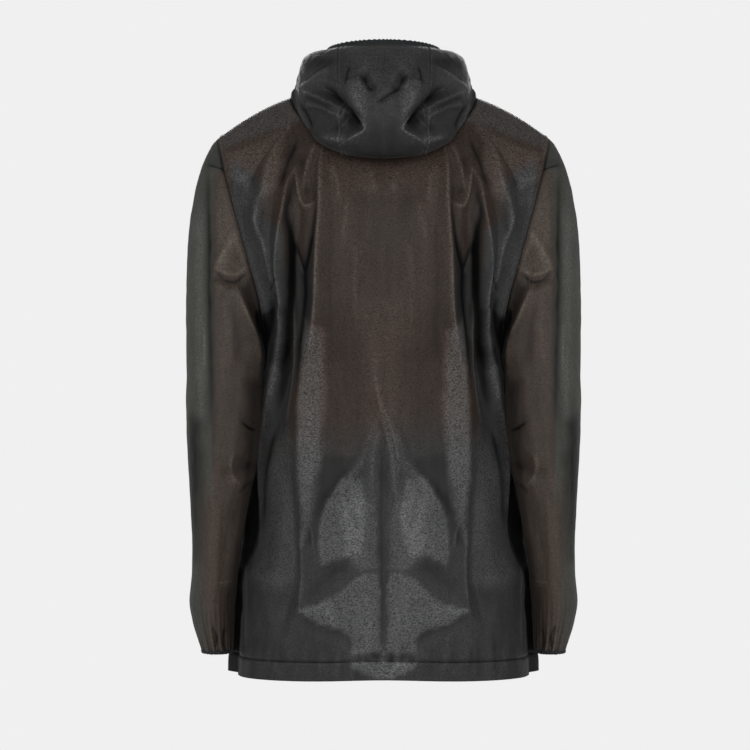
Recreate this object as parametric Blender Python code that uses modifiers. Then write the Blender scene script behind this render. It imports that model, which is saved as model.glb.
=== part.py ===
"""A hooded windbreaker, worn and zipped up, with nobody in it.

Sizes are in millimetres in the tables and in metres in the meshes.  +Z is up, the front faces -Y and
the wearer's left side is +X.  The origin is in the middle of the neck seam, level with its two high
points, where the garment hangs on its wearer.  Each cloth piece is an open sheet laid through
sections and then given its wall with Solidify.
"""

import math

import bmesh
import bpy
import numpy as np

MM = 0.001

# ---------------------------------------------------------------- driving sizes, in mm
WALL = 1.4                # thickness of every cloth wall
SEAM = 0.3                # distance between the edges of two pieces at a seam
NECK_X = 118.0            # half the width of the neck seam
NECK_BACK_Y = 90.0        # neck seam at the centre back: how far behind, and how low
NECK_BACK_Z = -73.0
NECK_FRONT_Y = -98.0      # neck seam at the centre front
NECK_FRONT_Z = -80.0
NECK_BEND = 1.2           # over 1, the neck seam runs level over the shoulders
SHOULDER_X = 210.0        # outer end of the shoulder seam
SHOULDER_Z = -52.0
SHOULDER_BEND = 0.4       # 0 is a straight shoulder seam, 1 one that only falls at its end
UNDERARM_Z = -340.0       # lowest point of the armhole
HEM_Z = -731.0            # lower edge of the body
HEM_RISE = 3.5            # how much higher it hangs at the centre back
HEM_DEPTH = 24.0          # height of the turned hem
HEM_STEP = 1.2            # how far the turned cloth stands out
HEM_RISE_HALF = 0.3       # how far across the rise reaches, as a share of the half width
CUFF_Z = -701.0           # lower edge of the sleeve's cloth
NECK_SHARE = 0.5          # share of a panel's top edge that is neck seam
ROOF = 130.0              # height over which a panel turns from the shoulder's top to the back
LEVELLING = 160.0         # height over which the top edge's rise and fall dies away
FLAT_SHARE = 0.45         # share of a section's half width over which it stays level
HOOD_TRIM = 0.35          # cut off each side of a hood seam, so that the walls part
EDGE_TRIM = 0.003         # share of a half panel that is cut off at its side, so that walls part
CLOSE_ROWS = 0.25         # share of a panel's rows that lie closer, on the shoulders
CAP_SHARE = 0.46          # share of the sleeve's rows above its first level ring
CAP_Z = -354.0            # height of that ring
CAP_LEAVE = (0.72, 0.22)  # how the cap leaves the armhole: outwards as much as down, and round
CAP_PULLS = (0.66, 0.85)  # how long it keeps its direction at its start and at its end
CUFF_GATHERS = 12         # waves round the end of a sleeve, and their height
CUFF_GATHER = 0.9
FOLD_FADE = 0.22          # share of a fold's length over which each end dies away
HOOD_RINGS = 9.0          # number of the last ring in HOOD

# How many faces each panel has across and down.
BACK_COLUMNS, BACK_ROWS = 28, 31
FRONT_COLUMNS, FRONT_ROWS = 12, 24
SLEEVE_COLUMNS, SLEEVE_ROWS = 22, 24
HOOD_COLUMNS, HOOD_SIDE_COLUMNS, HOOD_ROWS = 9, 14, 21
STRIP_TRIM = 0.004        # share of the hood or of a front that the zip's strips stop short

# The elastic bindings are ruched bands that stand on the cloth's edge.
BINDING_HEIGHT = 6.0
BINDING_WALL = 2.6
BINDING_PUFF = 0.22       # how much thicker and thinner the ruching makes them
BINDING_SIDES = 6         # faces round the band's section
COLUMNS_A_WAVE = 3
HOOD_WAVES, CUFF_WAVES = 28, 14

ZIP_HALF_OPENING = 4.2    # from the centre front to the edge of each front
TAPE_WIDTH = 15.0
TAPE_WALL = 1.0
NECK_EASE = 1.2           # how much deeper the tapes lie behind the thick of the neck seam
NECK_EASE_SHARE = 0.12    # share of their length that it takes to ease back
CHAIN_HALF_WIDTH = 2.9
CHAIN_WALL = 2.3
FORWARD = np.array((0.0, -1.0, 0.0))
BAIL_Y = -105.6           # axis of the pull tab, just in front of the slider
BAIL_Z = -4.0
BAIL_RADIUS = 0.9
EYE_HOLE = 1.3
EYE_RADIUS = 2.3
PULL_LENGTH = 26.0
PULL_WIDTH = 6.0
PULL_WALL = 1.4
EAR_RADIUS = 2.0
EAR_WALL = 1.2
SLIDER_BACK_Y = -100.9    # the plate's inner face, just clear of the chain
SLIDER_WIDTH = 10.0
SLIDER_HEIGHT = 14.0
SLIDER_WALL = 2.0
SLIDER_DROP = 4.0         # from the pin down to the middle of the plate
BOX_WALL = 2.6
BOX_HEIGHT = 8.0


class Table:
    """Rows of sizes under named columns, read between its rows along a smooth curve."""

    def __init__(self, columns, *rows):
        self.names = columns.split()
        rows = np.array(rows, float)
        self.rows = rows[np.argsort(rows[:, 0])]

    def at(self, key, name):
        xs = self.rows[:, 0]
        ys = self.rows[:, self.names.index(name)]
        step = np.diff(xs)
        slope = np.diff(ys) / step
        same_way = slope[:-1] * slope[1:] > 0
        total = np.where(same_way, slope[:-1] + slope[1:], 1.0)
        lean = np.zeros(len(xs))
        lean[1:-1] = np.where(same_way, 2 * slope[:-1] * slope[1:] / total, 0.0)
        lean[0] = slope[0]
        lean[-1] = slope[-1]
        key = np.clip(key, xs[0], xs[-1])
        i = np.clip(np.searchsorted(xs, key, side="right") - 1, 0, len(step) - 1)
        t = (key - xs[i]) / step[i]
        return hermite(t, ys[i], lean[i] * step[i], ys[i + 1], lean[i + 1] * step[i])


def hermite(t, start, start_pull, end, end_pull):
    """A cubic from start to end that leaves and arrives with the given pulls."""
    rise = t * t * (3 - 2 * t)
    return (
        start * (1 - rise)
        + end * rise
        + start_pull * t * (1 - t) ** 2
        - end_pull * t * t * (1 - t)
    )


def smoothstep(x, low, high):
    t = np.clip((x - low) / (high - low), 0.0, 1.0)
    return t * t * (3 - 2 * t)


# How far the centre back and the centre front stand behind and before the shoulder line.
TORSO = Table(
    "z back front",
    (-62, 110, -104),
    (-120, 118, -114),
    (-190, 121, -124),
    (-256, 120, -128),
    (-320, 115, -127),
    (-380, 109, -124),
    (-440, 106, -122),
    (-500, 110, -122),
    (-560, 118, -124),
    (-620, 125, -126),
    (-700, 128, -127),
    (-740, 127, -127),
)

# The outer edge of the back and of each front: the armhole seam down to -340, then the side seam.
# turn is the angle at which a section runs into that edge, reach how far it keeps that angle.
EDGE = Table(
    "z back_x back_y front_x front_y turn reach",
    (-52, 210, 58, 210, -52, 35, 50),
    (-63, 204, 60, 203, -58, 38, 50),
    (-104, 195, 66, 188, -70, 45, 54),
    (-152, 184, 72, 173, -78, 52, 58),
    (-202, 171.5, 73, 162, -78, 57, 60),
    (-258, 156.5, 62, 153, -66, 65, 62),
    (-308, 149, 36, 148.5, -38, 78, 68),
    (-340, 147.5, 0, 147.5, 0, 90, 74),
    (-390, 144, 2, 144, 2, 90, 74),
    (-451, 148, 4, 148, 4, 90, 72),
    (-521, 154, 6, 154, 6, 90, 72),
    (-560, 158, 8, 158, 8, 90, 74),
    (-575, 163, 9, 163, 9, 90, 75),
    (-590, 170, 9, 170, 9, 90, 76),
    (-604, 177, 10, 177, 10, 90, 76),
    (-622, 178, 11, 178, 11, 90, 77),
    (-641, 177, 12, 177, 12, 90, 78),
    (-660, 179, 13, 179, 13, 90, 79),
    (-700, 181, 14, 181, 14, 90, 80),
    (-740, 182, 14, 182, 14, 90, 80),
)

# How far the fronts stand out to the side ahead of the side seam, where along the half panel they do
# so most, and how narrow that swelling is.
FLARE = Table(
    "z size place sharp",
    (-325, 0, 0.78, 2),
    (-362, 17, 0.78, 2),
    (-400, 21, 0.78, 2),
    (-452, 22, 0.78, 2),
    (-500, 29, 0.78, 2),
    (-546, 33, 0.78, 2),
    (-575, 30, 0.78, 2.5),
    (-600, 22, 0.78, 3.6),
    (-620, 23, 0.77, 4),
    (-642, 29, 0.75, 4),
    (-664, 33, 0.72, 4),
    (-701, 38, 0.68, 4),
    (-740, 41, 0.67, 4),
)

# The level rings of a sleeve below its cap: innermost and outermost point, middle and half depth.
SLEEVE = Table(
    "z inner_x outer_x mid_y half_depth",
    (-354, 153.5, 249.5, 8, 70),
    (-400, 153.5, 249.5, 11, 69),
    (-452, 157, 248, 12, 65),
    (-500, 168, 245.5, 11, 59),
    (-560, 178, 243, 6, 53),
    (-600, 184, 242.5, 1, 48),
    (-642, 188.5, 246, -5, 43),
    (-664, 190, 243, -9, 40),
    (-684, 191, 237, -12, 37),
    (-701, 192, 231.5, -14, 34),
)

# The rings of the hood from the neck seam, down and out round the pouch, up to its opening.  bend is
# how a ring falls from its sides to the centre: over 1, it stays level at the sides for longer.
HOOD = Table(
    "ring side_x side_z back_y back_z front_y front_z seam_x bend",
    (0, 118, 1.6, 90.3, -72, -98, -78.8, 40, 1.2),
    (1, 117, 7.5, 108, -74.5, -99.5, -68, 43, 1.1),
    (2, 113, 13, 140, -87, -100.5, -57, 48, 0.95),
    (3, 111, 19, 160, -75, -101, -46, 51, 1),
    (4, 110, 26, 168, -44, -101, -35, 54, 1),
    (5, 107.5, 33, 164, -12, -100.5, -24, 56, 1),
    (6, 104, 41, 153, 18, -100, -14, 57, 1),
    (7, 98.5, 48, 135, 41, -99.3, -5, 57, 1),
    (8, 88, 52, 113, 56, -98.6, 2, 56, 1),
    (9, 72, 51, 92, 63, -98, 8, 53, 1),
)

# The largest folds of the back: height above the cloth (a groove is negative), half widths towards
# the centre and away from it, and the line that the fold follows, as (x, z).
BACK_FOLDS = (
    # name, both sides, height, inner, outer, line
    ("side pleat", True, 11, 12, 13, ((111, -93), (125, -198), (123, -260), (131, -337), (140, -389),
                                     (147, -449), (153, -518), (160, -543))),
    ("gusset hollow", True, -8, 14, 14, ((143, -110), (147, -186), (142, -260), (143, -321))),
    ("blade groove", True, -11, 10, 9, ((113, -105), (109, -150), (109, -204), (109, -260),
                                      (118, -321), (127, -383), (133, -425))),
    ("long ridge", True, 8, 15, 10, ((75, -70), (80, -109), (81, -161), (84, -230), (84, -260),
                                    (88, -290), (97, -326), (100, -362), (102, -437), (104, -500),
                                    (103, -563))),
    ("neck ridge", True, 5, 11, 11, ((120, -46), (140, -86), (146, -109), (157, -149),
                                     (154, -187))),
    ("centre ridge", False, 4, 14, 12, ((13, -347), (1, -391), (-7, -437), (-13, -500))),
    ("centre groove", False, -5, 10, 10, ((3, -457), (1, -520), (2, -590), (3, -654))),
    ("fan", True, 4, 12, 10, ((8, -405), (20, -432), (27, -457), (51, -495), (76, -533))),
    ("seat lobe", True, 6, 28, 24, ((53, -492), (50, -540), (54, -600))),
    ("flank groove", True, -5, 13, 13, ((112, -481), (113, -580), (128, -662))),
)

# The largest folds of the fronts, which hang from the chest and from the armholes.
FRONT_FOLDS = (
    ("chest pleat", True, 7, 14, 11, ((128, -120), (121, -200), (124, -300), (132, -390),
                                      (138, -470))),
    ("chest groove", True, -6, 11, 11, ((108, -130), (104, -210), (107, -300), (114, -380))),
    ("zip ridge", True, 5, 14, 12, ((46, -150), (52, -240), (50, -330), (58, -430), (56, -540))),
    ("belly groove", True, -5, 14, 14, ((84, -330), (88, -430), (82, -530), (92, -640))),
    ("hip ridge", True, 5, 16, 14, ((128, -500), (134, -590), (140, -690))),
)

# The folds of a sleeve seen from behind and from the front, as (x, z) too.
SLEEVE_BACK_FOLDS = (
    ("cap ridge", False, 4, 11, 11, ((186, -188), (198, -215), (212, -250))),
    ("elbow crease", False, -6, 9, 9, ((212, -228), (194, -229), (172, -228))),
    ("inner ridge", False, 5, 9, 12, ((177, -256), (163, -307), (160, -340))),
    ("outer groove", False, -4, 9, 9, ((226, -120), (227, -220), (228, -320), (226, -420))),
    ("forearm crease", False, -4, 9, 9, ((171, -455), (190, -478), (206, -474))),
    ("forearm ridge", False, 4, 12, 12, ((214, -380), (208, -460), (213, -560), (212, -640))),
)
SLEEVE_FRONT_FOLDS = (
    ("elbow fold", False, -6, 10, 10, ((166, -330), (190, -352), (216, -348))),
    ("elbow ridge", False, 5, 12, 12, ((166, -372), (194, -392), (222, -386))),
    ("forearm groove", False, -4, 10, 10, ((188, -420), (202, -500), (208, -600))),
    ("cap groove", False, -4, 10, 10, ((184, -120), (196, -190), (206, -270))),
)

# The folds of the hood, seen from behind.
HOOD_FOLDS = (
    ("big fold", True, -9, 8, 8, ((76, 4), (60, -14), (48, -30), (26, -49))),
    ("fold crest", True, 5, 8, 8, ((98, -2), (72, -20), (52, -36))),
    ("rim hollow", True, -6, 8, 8, ((30, 24), (21, 8), (14, -5))),
    ("lower pleat", True, 4, 8, 8, ((26, -56), (44, -66), (68, -60), (88, -45))),
)

COLOURS = {
    "shell": (0.055, 0.047, 0.043),
    "hood": (0.035, 0.036, 0.039),
    "binding": (0.012, 0.012, 0.013),
    "zip": (0.016, 0.016, 0.017),
    "metal": (0.12, 0.12, 0.13),
}


# ---------------------------------------------------------------- folds
def distance_to_line(x, z, line):
    """The signed distance of points from a fold's line, and how far along it they are, 0 to 1."""
    knots = np.array(line, float)
    reach = np.concatenate(([0], np.cumsum(np.linalg.norm(np.diff(knots, axis=0), axis=1))))
    curve = Table("along x z", *np.column_stack((reach, knots)))
    stations = np.linspace(0, reach[-1], 3 * len(knots))
    path = np.column_stack([curve.at(stations, name) for name in ("x", "z")])
    best = np.full(np.shape(x), np.inf)
    side = np.zeros(np.shape(x))
    along = np.zeros(np.shape(x))
    for start, end, where in zip(path[:-1], path[1:], stations[:-1]):
        run = end - start
        length = np.hypot(*run)
        t = np.clip(((x - start[0]) * run[0] + (z - start[1]) * run[1]) / length**2, 0, 1)
        dx = x - start[0] - t * run[0]
        dz = z - start[1] - t * run[1]
        distance = np.hypot(dx, dz)
        nearer = distance < best
        best = np.where(nearer, distance, best)
        side = np.where(nearer, np.sign(dx), side)
        along = np.where(nearer, (where + t * length) / reach[-1], along)
    return best * side, along


def fold_height(x, z, folds):
    """How far the folds lift or sink the cloth at x, z; those on both sides are mirrored."""
    height = np.zeros(np.shape(x))
    for _name, both_sides, tall, inner, outer, line in folds:
        for px in (np.abs(x),) if both_sides else (x,):
            distance, along = distance_to_line(px, z, line)
            width = np.where(distance < 0, inner, outer)
            ends = np.minimum(along, 1 - along)
            taper = smoothstep(ends, -FOLD_FADE / 2, FOLD_FADE)
            height += tall * taper * np.exp(-((distance / width) ** 2))
    return height


# ---------------------------------------------------------------- the body's surface
def neckline(angle):
    """A point of the neck seam; the angle is 0 at the centre back and pi at the centre front."""
    behind = np.maximum(np.cos(angle), 0)
    before = np.maximum(-np.cos(angle), 0)
    x = NECK_X * np.sin(angle)
    y = NECK_BACK_Y * behind + NECK_FRONT_Y * before
    z = NECK_BACK_Z * behind**NECK_BEND + NECK_FRONT_Z * before**NECK_BEND
    return x, y, z


def top_edge(s, face):
    """The neck seam and then the shoulder seam, for s from 0 at the centre to 1 at the armhole."""
    angle = np.clip(s / NECK_SHARE, 0, 1) * math.pi / 2
    x, y, z = neckline(angle if face > 0 else math.pi - angle)
    q = np.clip((s - NECK_SHARE) / (1 - NECK_SHARE), 0, 1)
    x = x + (SHOULDER_X - NECK_X) * q
    y = y + face * SEAM * smoothstep(s, NECK_SHARE - 0.1, NECK_SHARE)
    z = z + SHOULDER_Z * ((1 - SHOULDER_BEND) * q + SHOULDER_BEND * q * q)
    return x, y, z


def flare(half, level):
    """How far a front swells sideways, so that it hangs close behind the arm: nothing at its edges."""
    place = FLARE.at(level, "place")
    fall = FLARE.at(level, "sharp")
    climb = fall * place / (1 - place)
    return FLARE.at(level, "size") * (half / place) ** climb * ((1 - half) / (1 - place)) ** fall


def torso(s, v, face):
    """The body's cloth: s is -1 to 1 across, v is 0 at the top edge and 1 at the hem."""
    half = np.abs(s)
    top_z = NECK_BACK_Z if face > 0 else NECK_FRONT_Z
    drop = (top_z - HEM_Z) * v
    level = top_z - drop
    roof = np.clip(drop / ROOF, 0, 1)
    turned = np.sqrt(1 - (1 - roof) ** 2)
    tx, ty, tz = top_edge(half, face)
    z = level + (tz - top_z) * (1 - np.clip(drop / LEVELLING, 0, 1)) ** 2
    edge_z = level + (SHOULDER_Z - top_z) * (1 - np.clip(drop / LEVELLING, 0, 1)) ** 2
    side = "back" if face > 0 else "front"
    centre_y = TORSO.at(level, side)
    edge_x = EDGE.at(edge_z, side + "_x")
    edge_y = EDGE.at(edge_z, side + "_y")
    turn = np.radians(EDGE.at(edge_z, "turn"))
    reach = EDGE.at(edge_z, "reach")
    b0 = (1 - half) ** 3
    b1 = 3 * half * (1 - half) ** 2
    b2 = 3 * half**2 * (1 - half)
    b3 = half**3
    x = b1 * FLAT_SHARE * edge_x + b2 * (edge_x - reach * np.cos(turn)) + b3 * edge_x
    if face < 0:
        x = x + flare(np.clip(half, 0, 1), level)
    y = (b0 + b1) * centre_y + b2 * (edge_y + face * reach * np.sin(turn)) + b3 * edge_y
    x = tx + (x - tx) * turned
    y = ty + (y - ty) * turned
    return np.stack((np.sign(s) * x, y, z), -1)


def body_panel(face, folds):
    """The surface of the back (face 1) or of the fronts (face -1) with its folds and hem."""

    def surface(s, v):
        base = torso(s, v, face)
        x, z = base[..., 0], base[..., 2]
        away = smoothstep(1 - np.abs(s), 0.0, 0.10) * smoothstep(v, 0.0, 0.05)
        hem = HEM_STEP * smoothstep(HEM_Z + HEM_DEPTH - z, -0.5, 0.5)
        lift = fold_height(x, z, folds) * away + hem
        rise = HEM_RISE * np.exp(-((s / HEM_RISE_HALF) ** 2)) * smoothstep(v, 0.8, 1.0)
        raised = base + np.stack((0 * x, 0 * x, rise), -1)
        return raised + normal(lambda a, b: torso(a, b, face), s, v) * face * lift[..., None]

    return surface


def normal(surface, s, v, step=0.002, last=1.0):
    """The unit normal of a surface, from its two directions; v runs from 0 to last."""
    across = surface(s + step, v) - surface(s - step, v)
    down = surface(s, np.minimum(v + step, last)) - surface(s, np.maximum(v - step, 0))
    out = np.cross(across, down)
    return out / np.maximum(np.linalg.norm(out, axis=-1, keepdims=True), 1e-9)


# ---------------------------------------------------------------- the sleeve's surface
def armhole(turn):
    """The armhole seam: 0 at the underarm, up the back, 0.5 at the shoulder, down the front to 1."""
    rising = 1 - np.abs(1 - 2 * turn)
    up = (1 - np.cos(math.pi * rising)) / 2
    back_v = (NECK_BACK_Z - UNDERARM_Z) * (1 - up) / (NECK_BACK_Z - HEM_Z)
    front_v = (NECK_FRONT_Z - UNDERARM_Z) * (1 - up) / (NECK_FRONT_Z - HEM_Z)
    one = np.ones(np.shape(turn))
    behind = (turn < 0.5)[..., None]
    return np.where(behind, torso(one, back_v, 1), torso(one, front_v, -1))


def sleeve_ring(turn, z):
    angle = 2 * math.pi * turn
    inner = SLEEVE.at(z, "inner_x")
    outer = SLEEVE.at(z, "outer_x")
    x = (inner + outer) / 2 - (outer - inner) / 2 * np.cos(angle)
    y = SLEEVE.at(z, "mid_y") + SLEEVE.at(z, "half_depth") * np.sin(angle)
    return np.stack((x, y, z), -1)


def sleeve_base(turn, v):
    """The left sleeve: turn goes round it from the underarm by the back, v goes down it."""
    turn = np.mod(turn, 1.0)
    angle = 2 * math.pi * turn
    t = np.clip(v / CAP_SHARE, 0, 1)[..., None]
    start = armhole(turn)
    end = sleeve_ring(turn, np.full(np.shape(turn), CAP_Z))
    span = np.linalg.norm(end - start, axis=-1, keepdims=True)
    out, round_it = CAP_LEAVE
    leave = np.stack((out + 0 * turn, round_it * np.sin(angle), -out + 0 * turn), -1)
    arrive = np.array((0.0, 0.0, -1.0))
    cap = hermite(t, start, leave * span * CAP_PULLS[0], end, arrive * span * CAP_PULLS[1])
    down = np.clip((v - CAP_SHARE) / (1 - CAP_SHARE), 0, 1)
    rings = sleeve_ring(turn, CAP_Z + (CUFF_Z - CAP_Z) * down)
    return np.where((v < CAP_SHARE)[..., None], cap, rings)


def sleeve_surface(s, v):
    turn = (s + 1) / 2
    base = sleeve_base(turn, v)
    x, z = base[..., 0], base[..., 2]
    facing = np.sin(2 * math.pi * turn)
    behind = smoothstep(facing, 0.0, 0.45)
    before = smoothstep(-facing, 0.0, 0.45)
    lift = fold_height(x, z, SLEEVE_BACK_FOLDS) * behind
    lift = lift + fold_height(x, z, SLEEVE_FRONT_FOLDS) * before
    lift = lift * smoothstep(v, 0.01, 0.12)
    gathers = CUFF_GATHER * np.sin(CUFF_GATHERS * 2 * math.pi * turn) * smoothstep(v, 0.93, 1.0)
    out = normal(lambda a, b: sleeve_base((a + 1) / 2, b), s, v)
    return base + out * (lift + gathers)[..., None]


# ---------------------------------------------------------------- the hood's surface
def hood_base(angle, ring):
    """The hood: the angle is 0 at the centre back, ring 0 is the neck seam and 9 the opening."""
    behind = np.maximum(np.cos(angle), 0)
    before = np.maximum(-np.cos(angle), 0)
    side_z = HOOD.at(ring, "side_z")
    x = HOOD.at(ring, "side_x") * np.sin(angle)
    y = HOOD.at(ring, "back_y") * behind + HOOD.at(ring, "front_y") * before
    bend = HOOD.at(ring, "bend")
    z = side_z + (HOOD.at(ring, "back_z") - side_z) * behind**bend
    z = z + (HOOD.at(ring, "front_z") - side_z) * before**bend
    return np.stack((x, y, z), -1)


def hood_cloth(angle, ring):
    base = hood_base(angle, ring)
    x, z = base[..., 0], base[..., 2]
    outside = smoothstep(ring, 2.2, 3.2) * smoothstep(9 - ring, 0.0, 0.8)
    behind = smoothstep(np.cos(angle), 0.0, 0.3)
    lift = fold_height(x, z, HOOD_FOLDS) * outside * behind
    out = normal(hood_base, angle, ring, 0.01, HOOD_RINGS)
    return base - out * lift[..., None]


def hood_seam(ring):
    """The angle of the seam between the middle panel and a side panel of the hood."""
    return np.arcsin(HOOD.at(ring, "seam_x") / HOOD.at(ring, "side_x"))


def hood_middle(s, v):
    ring = HOOD_RINGS * v
    gap = HOOD_TRIM / HOOD.at(ring, "side_x")
    return hood_cloth(s * (hood_seam(ring) - gap), ring)


def hood_side(s, v):
    ring = HOOD_RINGS * v
    side_x = HOOD.at(ring, "side_x")
    start = hood_seam(ring) + HOOD_TRIM / side_x
    end = math.pi - np.arcsin(ZIP_HALF_OPENING / side_x)
    return hood_cloth(start + (end - start) * (s + 1) / 2, ring)


# ---------------------------------------------------------------- meshes
def material(name):
    made = bpy.data.materials.get(name)
    if made is None:
        made = bpy.data.materials.new(name)
        made.use_nodes = True
        shader = made.node_tree.nodes["Principled BSDF"]
        shader.inputs["Base Color"].default_value = (*COLOURS[name], 1)
        shader.inputs["Roughness"].default_value = 0.35 if name == "metal" else 0.5
        shader.inputs["Metallic"].default_value = 0.9 if name == "metal" else 0.0
    return made


def add_object(name, bm, finish):
    """Turns a bmesh in metres into an object of the garment with a material of its own."""
    mesh = bpy.data.meshes.new(name)
    bm.to_mesh(mesh)
    bm.free()
    mesh.shade_smooth()
    made = bpy.data.objects.new(name, mesh)
    own = material(finish).copy()
    own.name = finish + "_" + name
    mesh.materials.append(own)
    garment.objects.link(made)
    return made


def body_pace(t):
    """How far down each row lies: the rows are close on the shoulders and even below them."""
    share = 1 / (CLOSE_ROWS * (2 - CLOSE_ROWS))
    return np.where(t < CLOSE_ROWS, share * t * t, share * CLOSE_ROWS * (2 * t - CLOSE_ROWS))


def sheet(columns, rows, surface, s_range=(-1, 1), v_range=(0, 1), pace=None, closed=False):
    """A grid of cloth laid on surface(s, v), where both run over the given ranges."""
    bm = bmesh.new()
    bmesh.ops.create_grid(bm, x_segments=columns, y_segments=rows, size=1)
    flat = np.array([vertex.co for vertex in bm.verts])
    s = s_range[0] + (s_range[1] - s_range[0]) * (flat[:, 0] + 1) / 2
    down = (1 - flat[:, 1]) / 2
    v = v_range[0] + (v_range[1] - v_range[0]) * (pace(down) if pace else down)
    for vertex, place in zip(bm.verts, surface(s, v) * MM):
        vertex.co = place
    if closed:
        bmesh.ops.remove_doubles(bm, verts=bm.verts, dist=0.01 * MM)
    return bm


def face_outwards(bm, outward):
    """Turns every face of an open sheet to the side that outward(centre) points to."""
    bm.normal_update()
    votes = sum(face.normal.dot(outward(face.calc_center_median())) for face in bm.faces)
    if votes < 0:
        bmesh.ops.reverse_faces(bm, faces=bm.faces)


def cloth(name, bm, outward, finish, wall=WALL):
    face_outwards(bm, outward)
    made = add_object(name, bm, finish)
    thick = made.modifiers.new("wall", "SOLIDIFY")
    thick.thickness = wall * MM
    thick.offset = -1
    return made


def mirrored(bm):
    """The same sheet for the other side of the body."""
    for vertex in bm.verts:
        vertex.co.x = -vertex.co.x
    return bm


def from_the_middle(centre):
    """Away from the vertical line through the neck."""
    return centre * 1.0 - type(centre)((0, 0, centre.z))


def away_from(x, y):
    def outward(centre):
        return centre - type(centre)((math.copysign(x, centre.x), y, centre.z))

    return outward


# ---------------------------------------------------------------- the pieces
def build_body():
    edge = 1 - EDGE_TRIM
    back = body_panel(1, BACK_FOLDS)
    rows = sheet(BACK_COLUMNS, BACK_ROWS, back, (-edge, edge), pace=body_pace)
    cloth("back", rows, from_the_middle, "shell")
    front = body_panel(-1, FRONT_FOLDS)
    for name, side in (("front_left", 1), ("front_right", -1)):

        def half_front(s, v):
            start = across_for_x(ZIP_HALF_OPENING, v)
            return front(start + (edge - start) * (s + 1) / 2, v)

        panel = sheet(FRONT_COLUMNS, FRONT_ROWS, half_front, pace=body_pace)
        if side < 0:
            mirrored(panel)
        cloth(name, panel, from_the_middle, "shell")


def across_for_x(x, v):
    """The s at which a front is x away from the centre, found by halving."""
    low = np.zeros(np.shape(v))
    high = np.full(np.shape(v), 0.4)
    for _ in range(30):
        middle = (low + high) / 2
        beyond = torso(middle, v, -1)[..., 0] > x
        high = np.where(beyond, middle, high)
        low = np.where(beyond, low, middle)
    return high


def build_sleeves():
    for side, name in ((1, "left"), (-1, "right")):
        tube = sheet(SLEEVE_COLUMNS, SLEEVE_ROWS, sleeve_surface, (-1, 1), (0.004, 1), closed=True)
        if side < 0:
            mirrored(tube)
        cloth("sleeve_" + name, tube, away_from(0.2, 0.0), "shell")


def build_hood():
    middle = sheet(HOOD_COLUMNS, HOOD_ROWS, hood_middle)
    cloth("hood_center", middle, lambda c: c - type(c)((0, 0.12, 0)), "hood")
    for side, name in ((1, "left"), (-1, "right")):
        panel = sheet(HOOD_SIDE_COLUMNS, HOOD_ROWS, hood_side)
        if side < 0:
            mirrored(panel)
        cloth("hood_side_" + name, panel, from_the_middle, "hood")


def binding(name, ring, waves):
    """A ruched elastic band below or above a cloth edge: ring(turn) gives its middle line."""

    def surface(s, v):
        turn = (s + 1) / 2
        round_it = 2 * math.pi * v
        place, outward, along = ring(turn)
        puff = 1 + BINDING_PUFF * np.sin(2 * math.pi * waves * turn)
        across = BINDING_WALL / 2 * puff * np.cos(round_it)
        up = BINDING_HEIGHT / 2 * np.sin(round_it)
        return place + outward * across[..., None] + along * up[..., None]

    bm = sheet(COLUMNS_A_WAVE * waves, BINDING_SIDES, surface, closed=True)
    bmesh.ops.recalc_face_normals(bm, faces=bm.faces)
    return add_object(name, bm, "binding")


def build_bindings():
    up = np.array((0.0, 0.0, 1.0))
    clear = BINDING_HEIGHT / 2 + SEAM

    def hood_rim(turn):
        angle = 2 * math.pi * turn
        edge = hood_base(folded_angle(angle), np.full(np.shape(turn), HOOD_RINGS))
        edge[..., 0] *= np.sign(np.sin(angle) + 1e-12)
        edge = edge + up * clear
        out = edge * np.array((1.0, 1.0, 0.0))
        out = out / np.linalg.norm(out, axis=-1, keepdims=True)
        inward = edge - out * WALL / 2
        return inward, out, np.broadcast_to(up, out.shape)

    binding("hood_binding", hood_rim, HOOD_WAVES)
    for side, name in ((1, "left"), (-1, "right")):

        def cuff(turn, side=side):
            edge = sleeve_ring(np.mod(turn, 1.0), np.full(np.shape(turn), CUFF_Z))
            middle = sleeve_ring(np.array((0.25, 0.75)), np.array((CUFF_Z, CUFF_Z))).mean(axis=0)
            out = edge - middle
            out = out / np.linalg.norm(out, axis=-1, keepdims=True)
            place = edge - out * WALL / 2 - up * clear
            turned = np.array((side, 1.0, 1.0))
            return place * turned, out * turned, np.broadcast_to(up, out.shape)

        binding("cuff_binding_" + name, cuff, CUFF_WAVES)


def front_strip(x_from, x_to, stand_off, ease=0.0):
    """A strip down the centre front, in the same rows as the hood and the fronts, off their cloth.

    ease lets it lie deeper behind the thick of the neck seam.
    """
    hood_share = HOOD_ROWS / (HOOD_ROWS + FRONT_ROWS)

    def surface(s, v):
        x = x_from + (x_to - x_from) * (s + 1) / 2
        side = np.sign(x)
        ring = HOOD_RINGS * np.clip(1 - v / hood_share, 0, 1 - STRIP_TRIM)
        angle = math.pi - np.arcsin(np.abs(x) / HOOD.at(ring, "side_x"))
        on_hood = hood_base(angle, ring)
        hood_out = -normal(hood_base, angle, ring, 0.01, HOOD_RINGS)
        down = body_pace(np.clip((v - hood_share) / (1 - hood_share), 0, 1 - STRIP_TRIM))
        across = across_for_x(np.abs(x), down)
        on_body = torso(across, down, -1)
        body_out = -normal(lambda a, b: torso(a, b, -1), across, down)
        above = (v < hood_share)[..., None]
        at_seam = (np.abs(v - hood_share) < 1e-4)[..., None]
        out = np.where(at_seam, FORWARD, np.where(above, hood_out, body_out))
        depth = stand_off - ease * np.exp(-(((v - hood_share) / NECK_EASE_SHARE) ** 2))
        place = np.where(above, on_hood, on_body) + out * depth[..., None]
        return place * np.stack((side, np.ones_like(side), np.ones_like(side)), -1)

    return surface


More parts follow.
